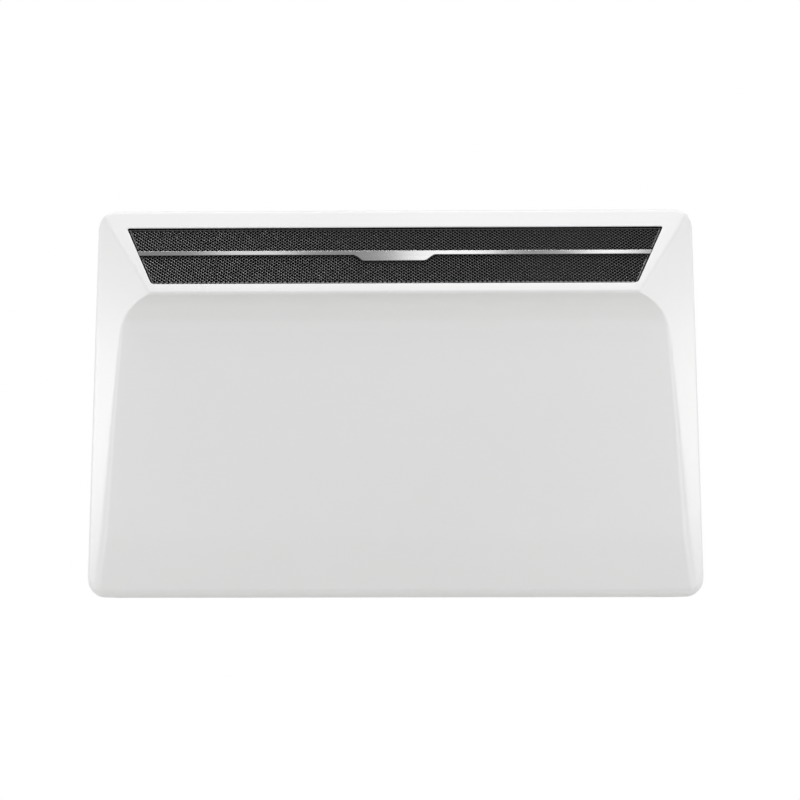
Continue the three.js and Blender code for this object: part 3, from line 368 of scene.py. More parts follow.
def quad_grid(count_v, count_u):
    """Corner numbers of a grid's cells: v counts the rows, u the places in each row."""
    start = np.arange(count_v - 1)[:, None] * count_u + np.arange(count_u - 1)
    return np.stack([start, start + 1, start + count_u + 1, start + count_u], -1)


# The opening in the visor, larger by the radius of its rolled edge, as places [x, s] up its right
# side: an arc, the leaning side and the upper arc.
roll = 1
opening_low, opening_high = outlet_low - roll, outlet_high + roll
lower_corner, upper_corner, arc_places = 8, 2.5, 9
slope_length = math.hypot(1, outlet_spread)


def side_line(s):
    """Half width of the opening at a height up the visor's slope, out to its rolled edge."""
    return outlet_half_low + (s - outlet_low) * outlet_spread + roll * slope_length


def opening_corner(s, radius, angles, sign):
    """An arc that touches a level edge and the leaning side; sign is 1 at the lower corner."""
    middle_s = s + sign * radius
    middle_x = side_line(middle_s) - radius * slope_length
    return np.stack(
        [middle_x + radius * np.sin(angles), middle_s - sign * radius * np.cos(angles)], 1
    )


side_turn = math.atan2(1, outlet_spread)
opening_side = np.concatenate(
    [
        opening_corner(opening_low, lower_corner, np.linspace(0, side_turn, arc_places), 1),
        opening_corner(
            opening_high, upper_corner, np.linspace(math.pi - side_turn, 0, arc_places), -1
        ),
    ]
)
opening_heights = ridge_height + opening_side[:, 1] * math.cos(visor_lean)

# Rows of the front, closer where it bends. Each runs from one side of the outline to the other.
row_gap, least_row_gap = 9, 0.05
corner_steps = corner_radius * (1 - np.cos(np.radians(np.arange(0, 91, 6))))
control_low, control_high, control_radius = 68, 184, 4
control_steps = control_radius * (1 - np.cos(np.radians(np.arange(0, 91, 18))))
heights = np.concatenate(
    [
        corner_steps,
        [0.3, 0.7],
        casing_height - corner_steps,
        [casing_height - 0.25, casing_height - 0.7],
        control_low + control_steps,
        control_high - control_steps,
        front_profile[1:-1, 1],
        opening_heights,
        np.linspace(opening_heights[arc_places - 1], opening_heights[arc_places], 12),
        np.arange(30, 300, row_gap),
    ]
)
heights = np.unique(np.round(heights, 3))
must_keep = np.unique(np.round(np.concatenate([opening_heights, corner_steps]), 3))
keep = np.isin(heights, must_keep) | (np.diff(heights, prepend=-1) > least_row_gap)
heights = heights[keep]

corner_near = np.clip(corner_radius - np.minimum(heights, casing_height - heights), 0, None)
outline_half = half_width - corner_radius + np.sqrt(corner_radius**2 - corner_near**2)
profile_depth = np.interp(heights, front_profile[:, 1], front_profile[:, 0])
crease_half = half_width - (profile_depth - side_depth) * flank_run
crease_spread = np.interp(heights, crease_heights, [6, 5.5, 3, 1.8])
opening_half = np.interp(heights, opening_heights, opening_side[:, 0])

# Columns in each row's right half: over the opening, beside it, across the crease, down the flank
# and over the outer edge.
inner_cells, beside_cells = 14, 7
crease_steps = np.array([-1.7, -1.2, -0.8, -0.5, -0.25, 0, 0.25, 0.5, 0.8, 1.2, 1.7])
edge_steps = np.array([9.5, 7, 5, 3.6, 2.5, 1.6, 0.9, 0.4, 0.1, 0])
crease_columns = crease_half[:, None] + crease_spread[:, None] * crease_steps
crease_limit = outline_half[:, None] - np.linspace(22, 11, len(crease_steps))
crease_columns = np.minimum(crease_columns, crease_limit)
edge_columns = outline_half[:, None] - edge_steps
opening_column = np.minimum(opening_half, crease_columns[:, 0] - 2)[:, None]
inner_columns = opening_column * np.linspace(0, 1, inner_cells + 1)[1:]
beside_share = np.linspace(0, 1, beside_cells + 1)[1:-1]
between = opening_column + (crease_columns[:, :1] - opening_column) * beside_share
flank_columns = crease_columns[:, -1:] + (edge_columns[:, :1] - crease_columns[:, -1:]) * 0.5
right = np.hstack([inner_columns, between, crease_columns, flank_columns, edge_columns])
across = np.hstack([-right[:, ::-1], np.zeros((len(heights), 1)), right])
rows, columns = across.shape
up = np.broadcast_to(heights[:, None], across.shape)
front = np.stack([across, -np.minimum(front_depth(across, up), deepest), up - mount_height], -1)

row_low = int(np.searchsorted(heights, round(opening_heights[0], 3)))
row_high = int(np.searchsorted(heights, round(opening_heights[-1], 3)))
column_right = (columns - 1) // 2 + inner_cells
column_left = (columns - 1) // 2 - inner_cells
cells = quad_grid(rows, columns)
solid = np.ones(cells.shape[:2], bool)
solid[row_low:row_high, column_left:column_right] = False
shell_points = [front.reshape(-1, 3)]
shell_faces = [cells[solid]]


def rim_of(grid, low, high, left, right):
    """Numbers of a grid's places round a block of its cells, anticlockwise from the lower left."""
    bottom = grid[low, left:right]
    rising = grid[low:high, right]
    top = grid[high, right:left:-1]
    falling = grid[high:low:-1, left]
    return np.concatenate([bottom, rising, top, falling])


numbers = np.arange(rows * columns).reshape(rows, columns)

# The opening's edge, rolled in through a quarter of a circle.
rim = rim_of(numbers, row_low, row_high, column_left, column_right)
rim_places = shell_points[0][rim]
rim_s = (rim_places - [0, -ridge_depth, ridge_height - mount_height]) @ visor_up
rim_x = rim_places[:, 0]
ahead_x, ahead_s = np.roll(rim_x, -1) - np.roll(rim_x, 1), np.roll(rim_s, -1) - np.roll(rim_s, 1)
length = np.hypot(ahead_x, ahead_s)
inward = np.outer(-ahead_s / length, [1, 0, 0]) + np.outer(ahead_x / length, visor_up)
first = rows * columns
loops = [rim]
for angle in np.radians([18, 36, 54, 72, 90]):
    shell_points.append(
        rim_places + inward * roll * math.sin(angle) - visor_out * roll * (1 - math.cos(angle))
    )
    loops.append(first + np.arange(len(rim)))
    first += len(rim)
for near, far in zip(loops, loops[1:]):
    quads = np.stack([near, np.roll(near, -1), np.roll(far, -1), far], 1)
    shell_faces.append(quads)

# Side walls, top and underside: the outline carried back to the rear edge, which turns inwards.
# Openings for the controls on the right and for the inlet grille below lie between two depths.
control_back, control_front = 26, 56
inlet_back, inlet_front, inlet_half = 29.3, 56.5, 291
bend, bend_cut = 1.5, 0.45
edge = rim_of(numbers, 0, rows - 1, 0, columns - 1)
edge_places = shell_points[0][edge]
edge_height = edge_places[:, 2] + mount_height
over_x = np.sign(edge_places[:, 0]) * np.clip(
    np.abs(edge_places[:, 0]) - (half_width - corner_radius), 0, None
)
over_z = edge_height - casing_height / 2
over_z = np.sign(over_z) * np.clip(
    np.abs(over_z) - (casing_height / 2 - corner_radius), 0, None
)
edge_out = np.stack([over_x, over_z], 1) / np.hypot(over_x, over_z)[:, None]
# On the right the wall's lines follow the control opening's rounded corners, between two heights.
lines_low, lines_high, near_side = 40, 300, half_width - 0.5
on_right = (edge_places[:, 0] > near_side) & (edge_height > lines_low) & (edge_height < lines_high)
corner_cut = np.where(
    on_right,
    np.clip(
        control_radius - np.minimum(edge_height - control_low, control_high - edge_height),
        0,
        control_radius,
    ),
    0,
)
corner_cut = control_radius - np.sqrt(control_radius**2 - corner_cut**2)
share = edge_out[:, 0] ** 2
line_far = inlet_front + (control_front - inlet_front) * share - corner_cut
line_near = inlet_back + (control_back - inlet_back) * share + corner_cut
front_edge = -edge_places[:, 1]
wall_depths = [
    0.5 * (front_edge + line_far),
    line_far,
    line_near,
    np.full(len(edge), shell_back + bend),
    np.full(len(edge), shell_back + bend_cut),
    np.full(len(edge), shell_back),
    np.full(len(edge), shell_back),
]
wall_insets = [0, 0, 0, 0, bend_cut, bend, rear_lip]
loops = [edge]
for depth, inset in zip(wall_depths, wall_insets):
    place = np.stack([edge_places[:, 0], -depth, edge_places[:, 2]], 1)
    place[:, 0] -= edge_out[:, 0] * inset
    place[:, 2] -= edge_out[:, 1] * inset
    shell_points.append(place)
    loops.append(first + np.arange(len(edge)))
    first += len(edge)
beside = (edge_height + np.roll(edge_height, -1)) / 2
centre_x = (edge_places[:, 0] + np.roll(edge_places[:, 0], -1)) / 2
control_gap = on_right & (beside > control_low) & (beside < control_high)
inlet_gap = (beside < least_row_gap) & (np.abs(centre_x) < inlet_half)
# The openings lie in the step from the far line to the near one.
opened_step = 2
for step, (near, far) in enumerate(zip(loops, loops[1:])):
    quads = np.stack([near, far, np.roll(far, -1), np.roll(near, -1)], 1)
    if step == opened_step:
        quads = quads[~(control_gap | inlet_gap)]
    shell_faces.append(quads)

# Sprayed and fired enamel over steel: a neutral white that drifts a little over a hand's breadth,
# and a gloss with a faint orange peel about 2 mm across.
enamel_peel_size, enamel_drift_size = 20 / 9, 500 / 3
white_enamel, enamel_shader, enamel_place = new_finish("white enamel on steel", "e6e6e6", 0.3)
enamel_shader.inputs["IOR"].default_value = 1.5
enamel_peel = add_node(
    white_enamel, "TexNoise", {"Vector": enamel_place, "Scale": 1000 / enamel_peel_size, "Detail": 1}
)
follow(white_enamel, enamel_shader, enamel_peel, relief=(0.05, 0.0003))
enamel_drift = add_node(
    white_enamel, "TexNoise", {"Vector": enamel_place, "Scale": 1000 / enamel_drift_size, "Detail": 2}
)
follow(white_enamel, enamel_shader, enamel_drift, tones=("e4e4e4", "e8e8e8"))

casing = add_mesh(
    "pressed_casing", np.concatenate(shell_points), np.concatenate(shell_faces), white_enamel
)
# The wall is a tenth thinner than the sheet, which keeps it clear of what lies against its inside.
wall = casing.modifiers.new("sheet thickness", "SOLIDIFY")
wall.thickness = 0.9 * sheet / 1000
wall.offset = -1
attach(casing, "heater")
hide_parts("front_casing")
dress(white_enamel, "rear_cover", "inlet_grille")

# ---------------------------------------------------------------- outlet frame
# A black moulded rim round the visor's opening, clipped in from behind. Ribs across it carry the
# mesh, and slanted blades between them turn the warm air forwards and hide the inside.

# Moulded in a spark-eroded tool: black and dull, with a fine and even grain.
abs_grain_size = 5 / 9
black_abs, abs_shader, abs_place = new_finish("black moulded ABS", "17181a", 0.5)
abs_grain = add_node(
    black_abs, "TexNoise", {"Vector": abs_place, "Scale": 1000 / abs_grain_size, "Detail": 3}
)
follow(black_abs, abs_shader, abs_grain, gloss=(0.42, 0.6), relief=(0.3, 0.0002))
dress(black_abs, "cord_gland", "control_tray")

# Polished black polycarbonate, as switches are made of: a clear gloss, uneven over a few millimetres.
switch_flow_size = 50 / 13
switch_black, switch_shader, switch_place = new_finish("polished black switch", "1b1c1e", 0.2)
switch_flow = add_node(
    switch_black, "TexNoise", {"Vector": switch_place, "Scale": 1000 / switch_flow_size, "Detail": 2}
)
follow(switch_black, switch_shader, switch_flow, gloss=(0.14, 0.26))
dress(switch_black, "switch_body", "power_rocker")

# Moulded ABS with a matt skin. Its colour and its almost absent gloss are darker than black plastic
# really is, as painted shade, so that the inside of the outlet looks nearly black.
matt_grain_size = 2 / 3
shade_black_abs, matt_shader, matt_place = new_finish("black ABS darkened as painted shade", "070707", 0.9)
matt_shader.inputs["Specular IOR Level"].default_value = 0.03
matt_grain = add_node(
    shade_black_abs, "TexNoise", {"Vector": matt_place, "Scale": 1000 / matt_grain_size, "Detail": 3}
)
follow(shade_black_abs, matt_shader, matt_grain, relief=(0.3, 0.0002))

fit_gap, frame_rim, frame_flange = 0.3, 0.8, 6
frame_front, frame_back = -0.6, -4
rim_round, rim_cut, least_corner = 0.2, 0.06, 0.6
rib_pitch, rib_count, rib_front, rib_back = 56, 9, -4.2, -11
rib_half, rib_chamfer = 1.2, 0.5
blade_count, blade_front, blade_back, blade_thickness = 14, -2.95, -9, 0.9
blade_lip, blade_width = 0.3, 1.3 * blade_thickness
# From the outlet's edges to the outer blades, and how much shorter those by the lower corners are.
first_blade, last_blade = 2.6, 2.3
corner_zone, corner_clear = 6, 3.2
outlet_middle = (outlet_low + outlet_high) / 2


def on_visor(x, s, n):
    """Places in millimetres from x across, s up the visor's slope and n out of its face."""
    x, s, n = np.broadcast_arrays(x, s, n)
    base = np.array([0, -ridge_depth, ridge_height - mount_height])
    across_x = x[..., None] * np.array([1.0, 0, 0])
    return base + across_x + s[..., None] * visor_up + n[..., None] * visor_out


def opening_loop(inset):
    """The opening's outline made smaller by an inset, as x and s, anticlockwise from below right."""
    grown = roll + inset
    lower = opening_corner(
        opening_low + grown, lower_corner - grown, np.linspace(0, side_turn, arc_places), 1
    )
    upper = opening_corner(
        opening_high - grown,
        max(upper_corner - grown, least_corner),
        np.linspace(math.pi - side_turn, 0, arc_places),
        -1,
    )
    side = np.concatenate([lower, upper])
    side[:, 0] -= grown * slope_length
    return np.concatenate([side, side[::-1] * [-1, 1]])


def ring_faces(count, around):
    """Faces between closed loops of the same number of places, the last loop joined to the first."""
    here = np.arange(count)[:, None] * around + np.arange(around)
    ahead = np.arange(count)[:, None] * around + (np.arange(around) + 1) % around
    after, after_ahead = np.roll(here, -1, 0), np.roll(ahead, -1, 0)
    return np.stack([here, ahead, after_ahead, after], -1).reshape(-1, 4)


def bars(profile, middles, starts, ends, along_x):
    """Straight bars with one profile. A profile holds (sideways, n) places round a bar, anticlockwise
    seen along it; a bar lies at its middle, from its start to its end, along x or up the slope."""
    count, corners = len(middles), len(profile)
    side = np.asarray(middles)[:, None, None] + profile[:, 0]
    side = np.broadcast_to(side, (count, 2, corners))
    run = np.stack([starts, ends], 1)[:, :, None] + np.zeros(corners)
    if along_x:
        points = on_visor(run, side, profile[:, 1])
    else:
        points = on_visor(side, run, profile[:, 1])
    first = np.arange(count)[:, None] * 2 * corners
    here = first + np.arange(corners)
    ahead = first + (np.arange(corners) + 1) % corners
    walls = np.stack([here, ahead, ahead + corners, here + corners], -1).reshape(-1, 4)
    faces = walls.tolist() + here[:, ::-1].tolist() + (here + corners).tolist()
    if not along_x:
        faces = [face[::-1] for face in faces]
    return points.reshape(-1, 3), faces


def joined(*skins):
    """Several skins of points and faces as one."""
    faces, first = [], 0
    for points, own_faces in skins:
        faces += [[first + corner for corner in face] for face in own_faces]
        first += len(points)
    return np.concatenate([points for points, _ in skins]), faces


rim_profile = np.array(
    [
        [-frame_flange, frame_back],
        [-frame_flange, -sheet - fit_gap],
        [fit_gap, -sheet - fit_gap],
        [fit_gap, frame_front - rim_round],
        [fit_gap + rim_cut, frame_front - rim_cut],
        [fit_gap + rim_round, frame_front],
        [fit_gap + frame_rim - rim_round, frame_front],
        [fit_gap + frame_rim - rim_cut, frame_front - rim_cut],
        [fit_gap + frame_rim, frame_front - rim_round],
        [fit_gap + frame_rim, frame_back],
    ]
)
rim_loops = []
for rim_inset, rim_level in rim_profile:
    loop = opening_loop(rim_inset)
    rim_loops.append(on_visor(loop[:, 0], loop[:, 1], rim_level))
rim_points = np.concatenate(rim_loops)
rim_faces = ring_faces(len(rim_profile), len(rim_loops[0])).tolist()

rib_profile = np.array(
    [
        [-rib_half, rib_back],
        [rib_half, rib_back],
        [rib_half, rib_front - rib_chamfer],
        [rib_half - rib_chamfer, rib_front],
        [rib_chamfer - rib_half, rib_front],
        [-rib_half, rib_front - rib_chamfer],
    ]
)
rim_middle = fit_gap + frame_rim / 2
rib_x = (np.arange(rib_count) - (rib_count - 1) / 2) * rib_pitch
rib_starts = np.full(rib_count, outlet_low + rim_middle)
rib_ends = np.full(rib_count, outlet_high - rim_middle)

# A blade falls as far as it reaches back, so that it stands across the view from below.
blade_reach = blade_front - blade_back
edge_round = blade_thickness / 4
blade_profile = np.array(
    [
        [-blade_reach, blade_back],
        [-edge_round, blade_front - edge_round],
        [blade_lip, blade_front],
        [blade_thickness, blade_front],
        [blade_width, blade_front - 2 * edge_round],
        [blade_width - blade_reach, blade_back],
    ]
)[::-1]
blade_s = np.linspace(outlet_low + first_blade, outlet_high - last_blade, blade_count)
blade_half = outlet_half_low + (blade_s - outlet_low) * outlet_spread - rim_middle * slope_length
blade_half = blade_half - corner_clear * (blade_s < outlet_low + corner_zone)

frame_points, frame_faces = joined(
    (rim_points, rim_faces),
    bars(rib_profile, rib_x, rib_starts, rib_ends, False),
    bars(blade_profile, blade_s, -blade_half, blade_half, True),
)
# The rim, ribs and blades take the darkened ABS: painted shade inside the outlet, over the real black
# moulding.
louvres = add_mesh("outlet_louvres", frame_points, frame_faces, shade_black_abs, smooth=False)
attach(louvres, "heater")
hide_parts("outlet_frame")

# ---------------------------------------------------------------- outlet mesh
# Thin steel sheet, slit and stretched into rows of small openings, then painted black. The strands
# stand proud between the openings, so their upper faces catch the light as zigzag lines.

mesh_front, mesh_back = -1.65, -2.3
opening_pitch, opening_rise = 4.95, 4.0
mesh_inset, hole_inset = 1.4, 1
least_width, least_height = 1.5, 1
mesh_low, mesh_high = outlet_low + mesh_inset, outlet_high - mesh_inset


def mesh_half(s, inset):
    """Half width of the mesh at a height up the visor's slope, less an inset from its side."""
    clear = (mesh_inset + inset) * slope_length
    return outlet_half_low + (s - outlet_low) * outlet_spread - clear


half_pitch, half_rise = opening_pitch / 2, opening_rise / 2
column_count = int(outlet_half_high / half_pitch) + 1
row_count = int((outlet_high - outlet_low) / opening_rise / 2) + 2
column, row = np.meshgrid(
    np.arange(-column_count, column_count + 1), np.arange(-row_count, row_count + 1)
)
cell_x = (column * half_pitch).ravel()
cell_s = (outlet_middle + row * opening_rise + (column % 2) * half_rise).ravel()
# A cell counts where its middle lies in the mesh, or at most this far outside.
cell_over = 1
keep = (cell_s > mesh_low - cell_over) & (cell_s < mesh_high + cell_over)
keep &= np.abs(cell_x) < mesh_half(cell_s, 0) + cell_over
cell_x, cell_s = cell_x[keep][:, None], cell_s[keep][:, None]

# Six corners of a cell, where it meets its six neighbours.
side_corner = (half_pitch**2 + half_rise**2) / (2 * half_pitch)
top_corner = side_corner - half_rise**2 / half_pitch
corner_x = np.array([side_corner, top_corner, -top_corner, -side_corner, -top_corner, top_corner])
corner_s = np.array([0, half_rise, half_rise, 0, -half_rise, -half_rise])
# The opening in it, taller above its middle than below, and how far its rim falls behind the corners.
hole_x = np.array([1.7, 0.34, -0.34, -1.7, -0.48, 0.48])
hole_s = np.array([0.1, 1.76, 1.76, 0.1, -1.47, -1.47])
hole_fall = np.array([0.12, 0.2, 0.2, 0.12, 0.2, 0.2])


def cell_ring(ring_x, ring_s, inset, level):
    """A ring of six corners in every cell, held inside the mesh's own outline."""
    s = np.clip(cell_s + ring_s, mesh_low + inset, mesh_high - inset)
    reach = mesh_half(s, inset)
    return on_visor(np.clip(cell_x + ring_x, -reach, reach), s, level)


rings = np.stack(
    [
        cell_ring(corner_x, corner_s, 0, mesh_front),
        cell_ring(hole_x, hole_s, hole_inset, mesh_front - hole_fall),
        cell_ring(hole_x, hole_s, hole_inset, mesh_back),
        cell_ring(corner_x, corner_s, 0, mesh_back),
    ],
    1,
)
ring_count, sides = rings.shape[1:3]
cell_places, back_ring = ring_count * sides, (ring_count - 1) * sides
cell_start = np.arange(len(cell_x))[:, None, None] * cell_places
level, spoke = np.meshgrid(np.arange(ring_count - 1), np.arange(sides), indexing="ij")
ahead = (spoke + 1) % sides
strand_faces = np.stack(
    [
        cell_start + level * sides + spoke,
        cell_start + level * sides + ahead,
        cell_start + (level + 1) * sides + ahead,
        cell_start + (level + 1) * sides + spoke,
    ],
    -1,
)

# A cell whose opening the outline would squeeze is left plain. The outline itself gets a wall,
# along the cell edges that no other cell shares.
width_left, height_left = np.ptp(rings[:, 1, :, 0], 1), np.ptp(rings[:, 1, :, 2], 1)
opened = (width_left > least_width) & (height_left > least_height)
plain = cell_start[~opened, :, 0] + np.arange(sides)
_, corner_place = np.unique(np.round(rings[:, 0].reshape(-1, 3), 3), axis=0, return_inverse=True)
corner_place = corner_place.reshape(-1, sides)
next_place = np.roll(corner_place, -1, 1)
corner_count = corner_place.max() + 1
forwards = corner_place * corner_count + next_place
backwards = next_place * corner_count + corner_place
unshared = ~np.isin(forwards, backwards) & (corner_place != next_place)
cell_of, spoke_of = np.nonzero(unshared)
edge_start = cell_of * cell_places + spoke_of
edge_end = cell_of * cell_places + (spoke_of + 1) % sides
outline_walls = np.stack([edge_end, edge_start, edge_start + back_ring, edge_end + back_ring], -1)


def welded(points, faces):
    """Points that round to the same tenth of a micrometre made one, and what is left of the faces."""
    points, numbers = np.unique(np.round(points, 4), axis=0, return_inverse=True)
    left = []
    for face in faces:
        corners = numbers[face].tolist()
        corners = [c for c, before in zip(corners, corners[-1:] + corners[:-1]) if c != before]
        if len(set(corners)) > 2:
            left.append(corners)
    return points, left


mesh_points, mesh_faces = welded(
    rings.reshape(-1, 3),
    [
        *strand_faces[opened].reshape(-1, 4),
        *plain,
        *(plain[:, ::-1] + back_ring),
        *outline_walls,
    ],
)

# Stove-enamelled black paint: deep black and shiny, with a fine grain, so that each strand shows as
# a bright line where it faces a light.
paint_grain_size = 10 / 9
black_paint, paint_shader, paint_place = new_finish("black stove paint", "0e0e0f", 0.16)
paint_shader.inputs["IOR"].default_value = 1.72
paint_grain = add_node(
    black_paint, "TexNoise", {"Vector": paint_place, "Scale": 1000 / paint_grain_size, "Detail": 2}
)
follow(black_paint, paint_shader, paint_grain, gloss=(0.12, 0.2), relief=(0.2, 0.0002))

strands = add_mesh("outlet_strands", mesh_points, mesh_faces, black_paint, smooth=False)
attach(strands, "heater")
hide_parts("outlet_mesh")

# ---------------------------------------------------------------- trim strip
# A brushed and clear-coated metal strip across the mesh, with a wider bare tab in its middle. Its
# ends are pressed thinner and lie on the outlet frame's rim.

trim_width = 5.8
trim_low, trim_high = outlet_middle, outlet_middle + trim_width
tab_drop, tab_top, tab_bottom = 8, 43.3, 31.3
end_clear, rim_clear, end_step, end_lift = 0.35, 0.15, 0.05, 0.05
opening_edge = outlet_half_low + (trim_low - outlet_low) * outlet_spread
trim_half = opening_edge - end_clear * slope_length
over_rim = opening_edge - (fit_gap + frame_rim + rim_clear) * slope_length
trim_x = np.unique(
    np.concatenate(
        [
            np.linspace(-trim_half, trim_half, 41),
            [-over_rim - end_step, -over_rim, over_rim, over_rim + end_step],
            np.linspace(-tab_top, -tab_bottom, 17),
            np.linspace(tab_bottom, tab_top, 17),
        ]
    )
)
rise = np.clip((np.abs(trim_x) - tab_bottom) / (tab_top - tab_bottom), 0, 1)
trim_lower = trim_low - tab_drop * (1 - rise**2 * (3 - 2 * rise))
trim_round = np.array([0, 0, 0.1, 0.3, 0.6])
trim_level = np.array([-1.3, -0.5, -0.25, -0.06, 0])
lower_side = trim_lower + trim_round[:, None]
upper_side = np.full_like(trim_lower, trim_high) - trim_round[::-1, None]
trim_s = np.vstack([lower_side, upper_side])
trim_n = np.concatenate([trim_level, trim_level[::-1]])[:, None]
# Its thinned ends stop just above the frame's rim and lean with the opening's sides.
on_rim = np.abs(trim_x) > over_rim + end_step / 2
thinned = np.where(on_rim, frame_front + end_lift, trim_level[0])
leaning = 1 + (trim_s - trim_low) * outlet_spread / trim_half
trim_points = on_visor(trim_x * leaning, trim_s, np.maximum(trim_n, thinned))
ring, along = trim_points.shape[:2]
trim_points = trim_points.reshape(-1, 3)
start = np.arange(ring)[:, None] * along + np.arange(along - 1)
above = (np.arange(ring) + 1)[:, None] % ring * along + np.arange(along - 1)
trim_faces = np.stack([start, start + 1, above + 1, above], -1).reshape(-1, 4).tolist()
trim_faces.append((np.arange(ring) * along).tolist())
trim_faces.append((np.arange(ring)[::-1] * along + along - 1).tolist())

# Satin metal, brushed along its length and lacquered: mid grey, with faint streaks a hand's breadth
# long and a millimetre apart, and a gloss that shows the lamps as bands.
streak_length, streak_gap = 250 / 3, 10 / 9
satin_metal, satin_shader, satin_place = new_finish("brushed satin trim", "7b7b7b", 0.15, 1)
satin_stretch = add_node(
    satin_metal,
    "Mapping",
    {"Vector": satin_place, "Scale": (1000 / streak_length, 1000 / streak_gap, 1000 / streak_gap)},
)
satin_lines = add_node(
    satin_metal, "TexNoise", {"Vector": satin_stretch.outputs[0], "Scale": 1, "Detail": 3}
)
follow(satin_metal, satin_shader, satin_lines, gloss=(0.1, 0.18), relief=(0.05, 0.0001))

strip = add_mesh("satin_strip", trim_points, trim_faces, satin_metal, smooth=False)
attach(strip, "heater")
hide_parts("trim_strip")

# ---------------------------------------------------------------- heating element and shields
# Aluminium fins pressed onto a core tube, between a curved rear sheet that turns the warm air to the
# outlet and a flat front one. Ceramic bushes round the core's ends sit in two folded supports.

# Mill finish: pale grey, streaked in the rolling direction, with a soft gloss.
roll_length, roll_gap = 50, 5 / 3
mill_aluminium, mill_shader, mill_place = new_finish("mill finish aluminium", "a9acb0", 0.42, 1)
mill_stretch = add_node(
    mill_aluminium,
    "Mapping",
    {"Vector": mill_place, "Scale": (1000 / roll_length, 1000 / roll_gap, 1000 / roll_gap)},
)
mill_lines = add_node(
    mill_aluminium, "TexNoise", {"Vector": mill_stretch.outputs[0], "Scale": 1, "Detail": 4}
)
follow(mill_aluminium, mill_shader, mill_lines, tones=("9da0a4", "b6b9bc"), gloss=(0.34, 0.52))
dress(mill_aluminium, "heating_element", "air_deflector", "front_heat_shield")

# Pressed and fired steatite, left unglazed: warm white, matt and finely speckled.
speck_size = 2 / 3
steatite, steatite_shader, steatite_place = new_finish("unglazed steatite", "ece6da", 0.6)
steatite_specks = add_node(
    steatite, "TexNoise", {"Vector": steatite_place, "Scale": 1000 / speck_size, "Detail": 4}
)
follow(steatite, steatite_shader, steatite_specks, tones=("e2dccf", "f3eee4"))
dress(steatite, "ceramic_bush_left", "ceramic_bush_right", "terminal_block")

# ---------------------------------------------------------------- thermostat knob
# Moulded in black ABS and pressed onto the thermostat's shaft in the right side. A fluted skirt
# carries a straight grip, waisted for thumb and finger, with a white pointer line at its top.


def stacked(loops):
    """A closed skin over loops of equal number, each anticlockwise seen from where they lead."""
    around = len(loops[0])
    here = np.arange(len(loops) - 1)[:, None] * around + np.arange(around)
    ahead = np.roll(here, -1, 1)
    walls = np.stack([here, ahead, ahead + around, here + around], -1).reshape(-1, 4)
    caps = [here[0, ::-1].tolist(), (here[-1] + around).tolist()]
    return np.concatenate(loops), walls.tolist() + caps


arc_step, side_places = 7.5, 13


def round_bar(half_y, half_z, radius, waist):
    """A rounded rectangle as y and z. Its width is drawn in by the waist's share at the middle,
    and elsewhere by that share times the square of 1 less (z / half_z) squared."""
    angles = np.radians(np.arange(0, 360, arc_step) + arc_step / 2)
    cos, sin = np.cos(angles), np.sin(angles)
    y = radius * cos + np.sign(cos) * (half_y - radius)
    z = radius * sin + np.sign(sin) * (half_z - radius)
    middle_z = np.linspace(-0.9, 0.9, side_places) * (half_z - radius)
    upper, lower = sin > 0, sin < 0
    order = [
        (y[upper], z[upper]),
        (np.full(side_places, -half_y), middle_z[::-1]),
        (y[lower], z[lower]),
        (np.full(side_places, half_y), middle_z),
    ]
    y, z = (np.concatenate([part[i] for part in order]) for i in (0, 1))
    return y * (1 - waist * np.clip(1 - (z / half_z) ** 2, 0, 1) ** 2), z


knob_low, knob_high = (np.array(corner) * 1000 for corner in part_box("thermostat_knob"))
knob_y, knob_z = (knob_low[1:] + knob_high[1:]) / 2
knob_radius = (knob_high[2] - knob_low[2]) / 2
knob_base, knob_top = knob_low[0], knob_high[0]
skirt_rise, flute_count, flute_depth = 3, 36, 0.3
grip_half, grip_round, grip_waist = 3, 2.5, 0.22
pointer_half, pointer_reach, pointer_round, pointer_rise = 0.55, 2.9, 0.4, 6.2
pointer_relief = 0.15


def knob_loop(x, y, z):
    """A loop round the knob's axis at one x, from y and z as they lie from that axis."""
    return np.stack([np.full_like(y, x), knob_y + y, knob_z + z], 1)


turn = np.linspace(0, 2 * math.pi, flute_count * 8, endpoint=False)
flutes = flute_depth * np.clip(np.cos(turn * flute_count), 0, 1) ** 2
# The skirt's height, radius and share of the flutes' depth, from the shaft's side outwards.
skirt_loops = []
for level, radius, fluted in (
    (0, knob_radius - 0.3, 0.6),
    (0.3, knob_radius, 1),
    (skirt_rise - 0.7, knob_radius - 0.5, 1),
    (skirt_rise - 0.2, knob_radius - 0.75, 0.6),
    (skirt_rise, knob_radius - 1.4, 0),
    (skirt_rise, knob_radius - 4, 0),
):
    reach = radius - flutes * fluted
    skirt_loops.append(knob_loop(knob_base + level, reach * np.cos(turn), reach * np.sin(turn)))

# The grip's and the pointer's height, and how far they are drawn in there.
grip_loops = []
for level, inset in (
    (knob_base + skirt_rise - 0.5, 0),
    (knob_top - 2.5, 0.15),
    (knob_top - 1, 0.25),
    (knob_top - 0.5, 0.5),
    (knob_top - 0.25, 0.8),
    (knob_top - pointer_relief, 1.2),
):
    y, z = round_bar(grip_half - inset, knob_radius - 1 - inset, grip_round - inset, grip_waist)
    grip_loops.append(knob_loop(level, y, z))

pointer_loops = []
for level, inset in ((knob_top - 0.5, 0), (knob_top - 0.05, 0), (knob_top, 0.06)):
    y, z = round_bar(pointer_half - inset, pointer_reach - inset, pointer_round - inset, 0)
    pointer_loops.append(knob_loop(level, y, pointer_rise + z))

# Enamel paint on the raised pointer line: plain white and half matt, a little worn in specks.
worn_size = 2 / 3
pointer_paint, pointer_shader, pointer_place = new_finish("white pointer paint", "dcdcda", 0.5)
pointer_grain = add_node(
    pointer_paint, "TexNoise", {"Vector": pointer_place, "Scale": 1000 / worn_size}
)
follow(pointer_paint, pointer_shader, pointer_grain, tones=("d0d0ce", "e4e4e2"))

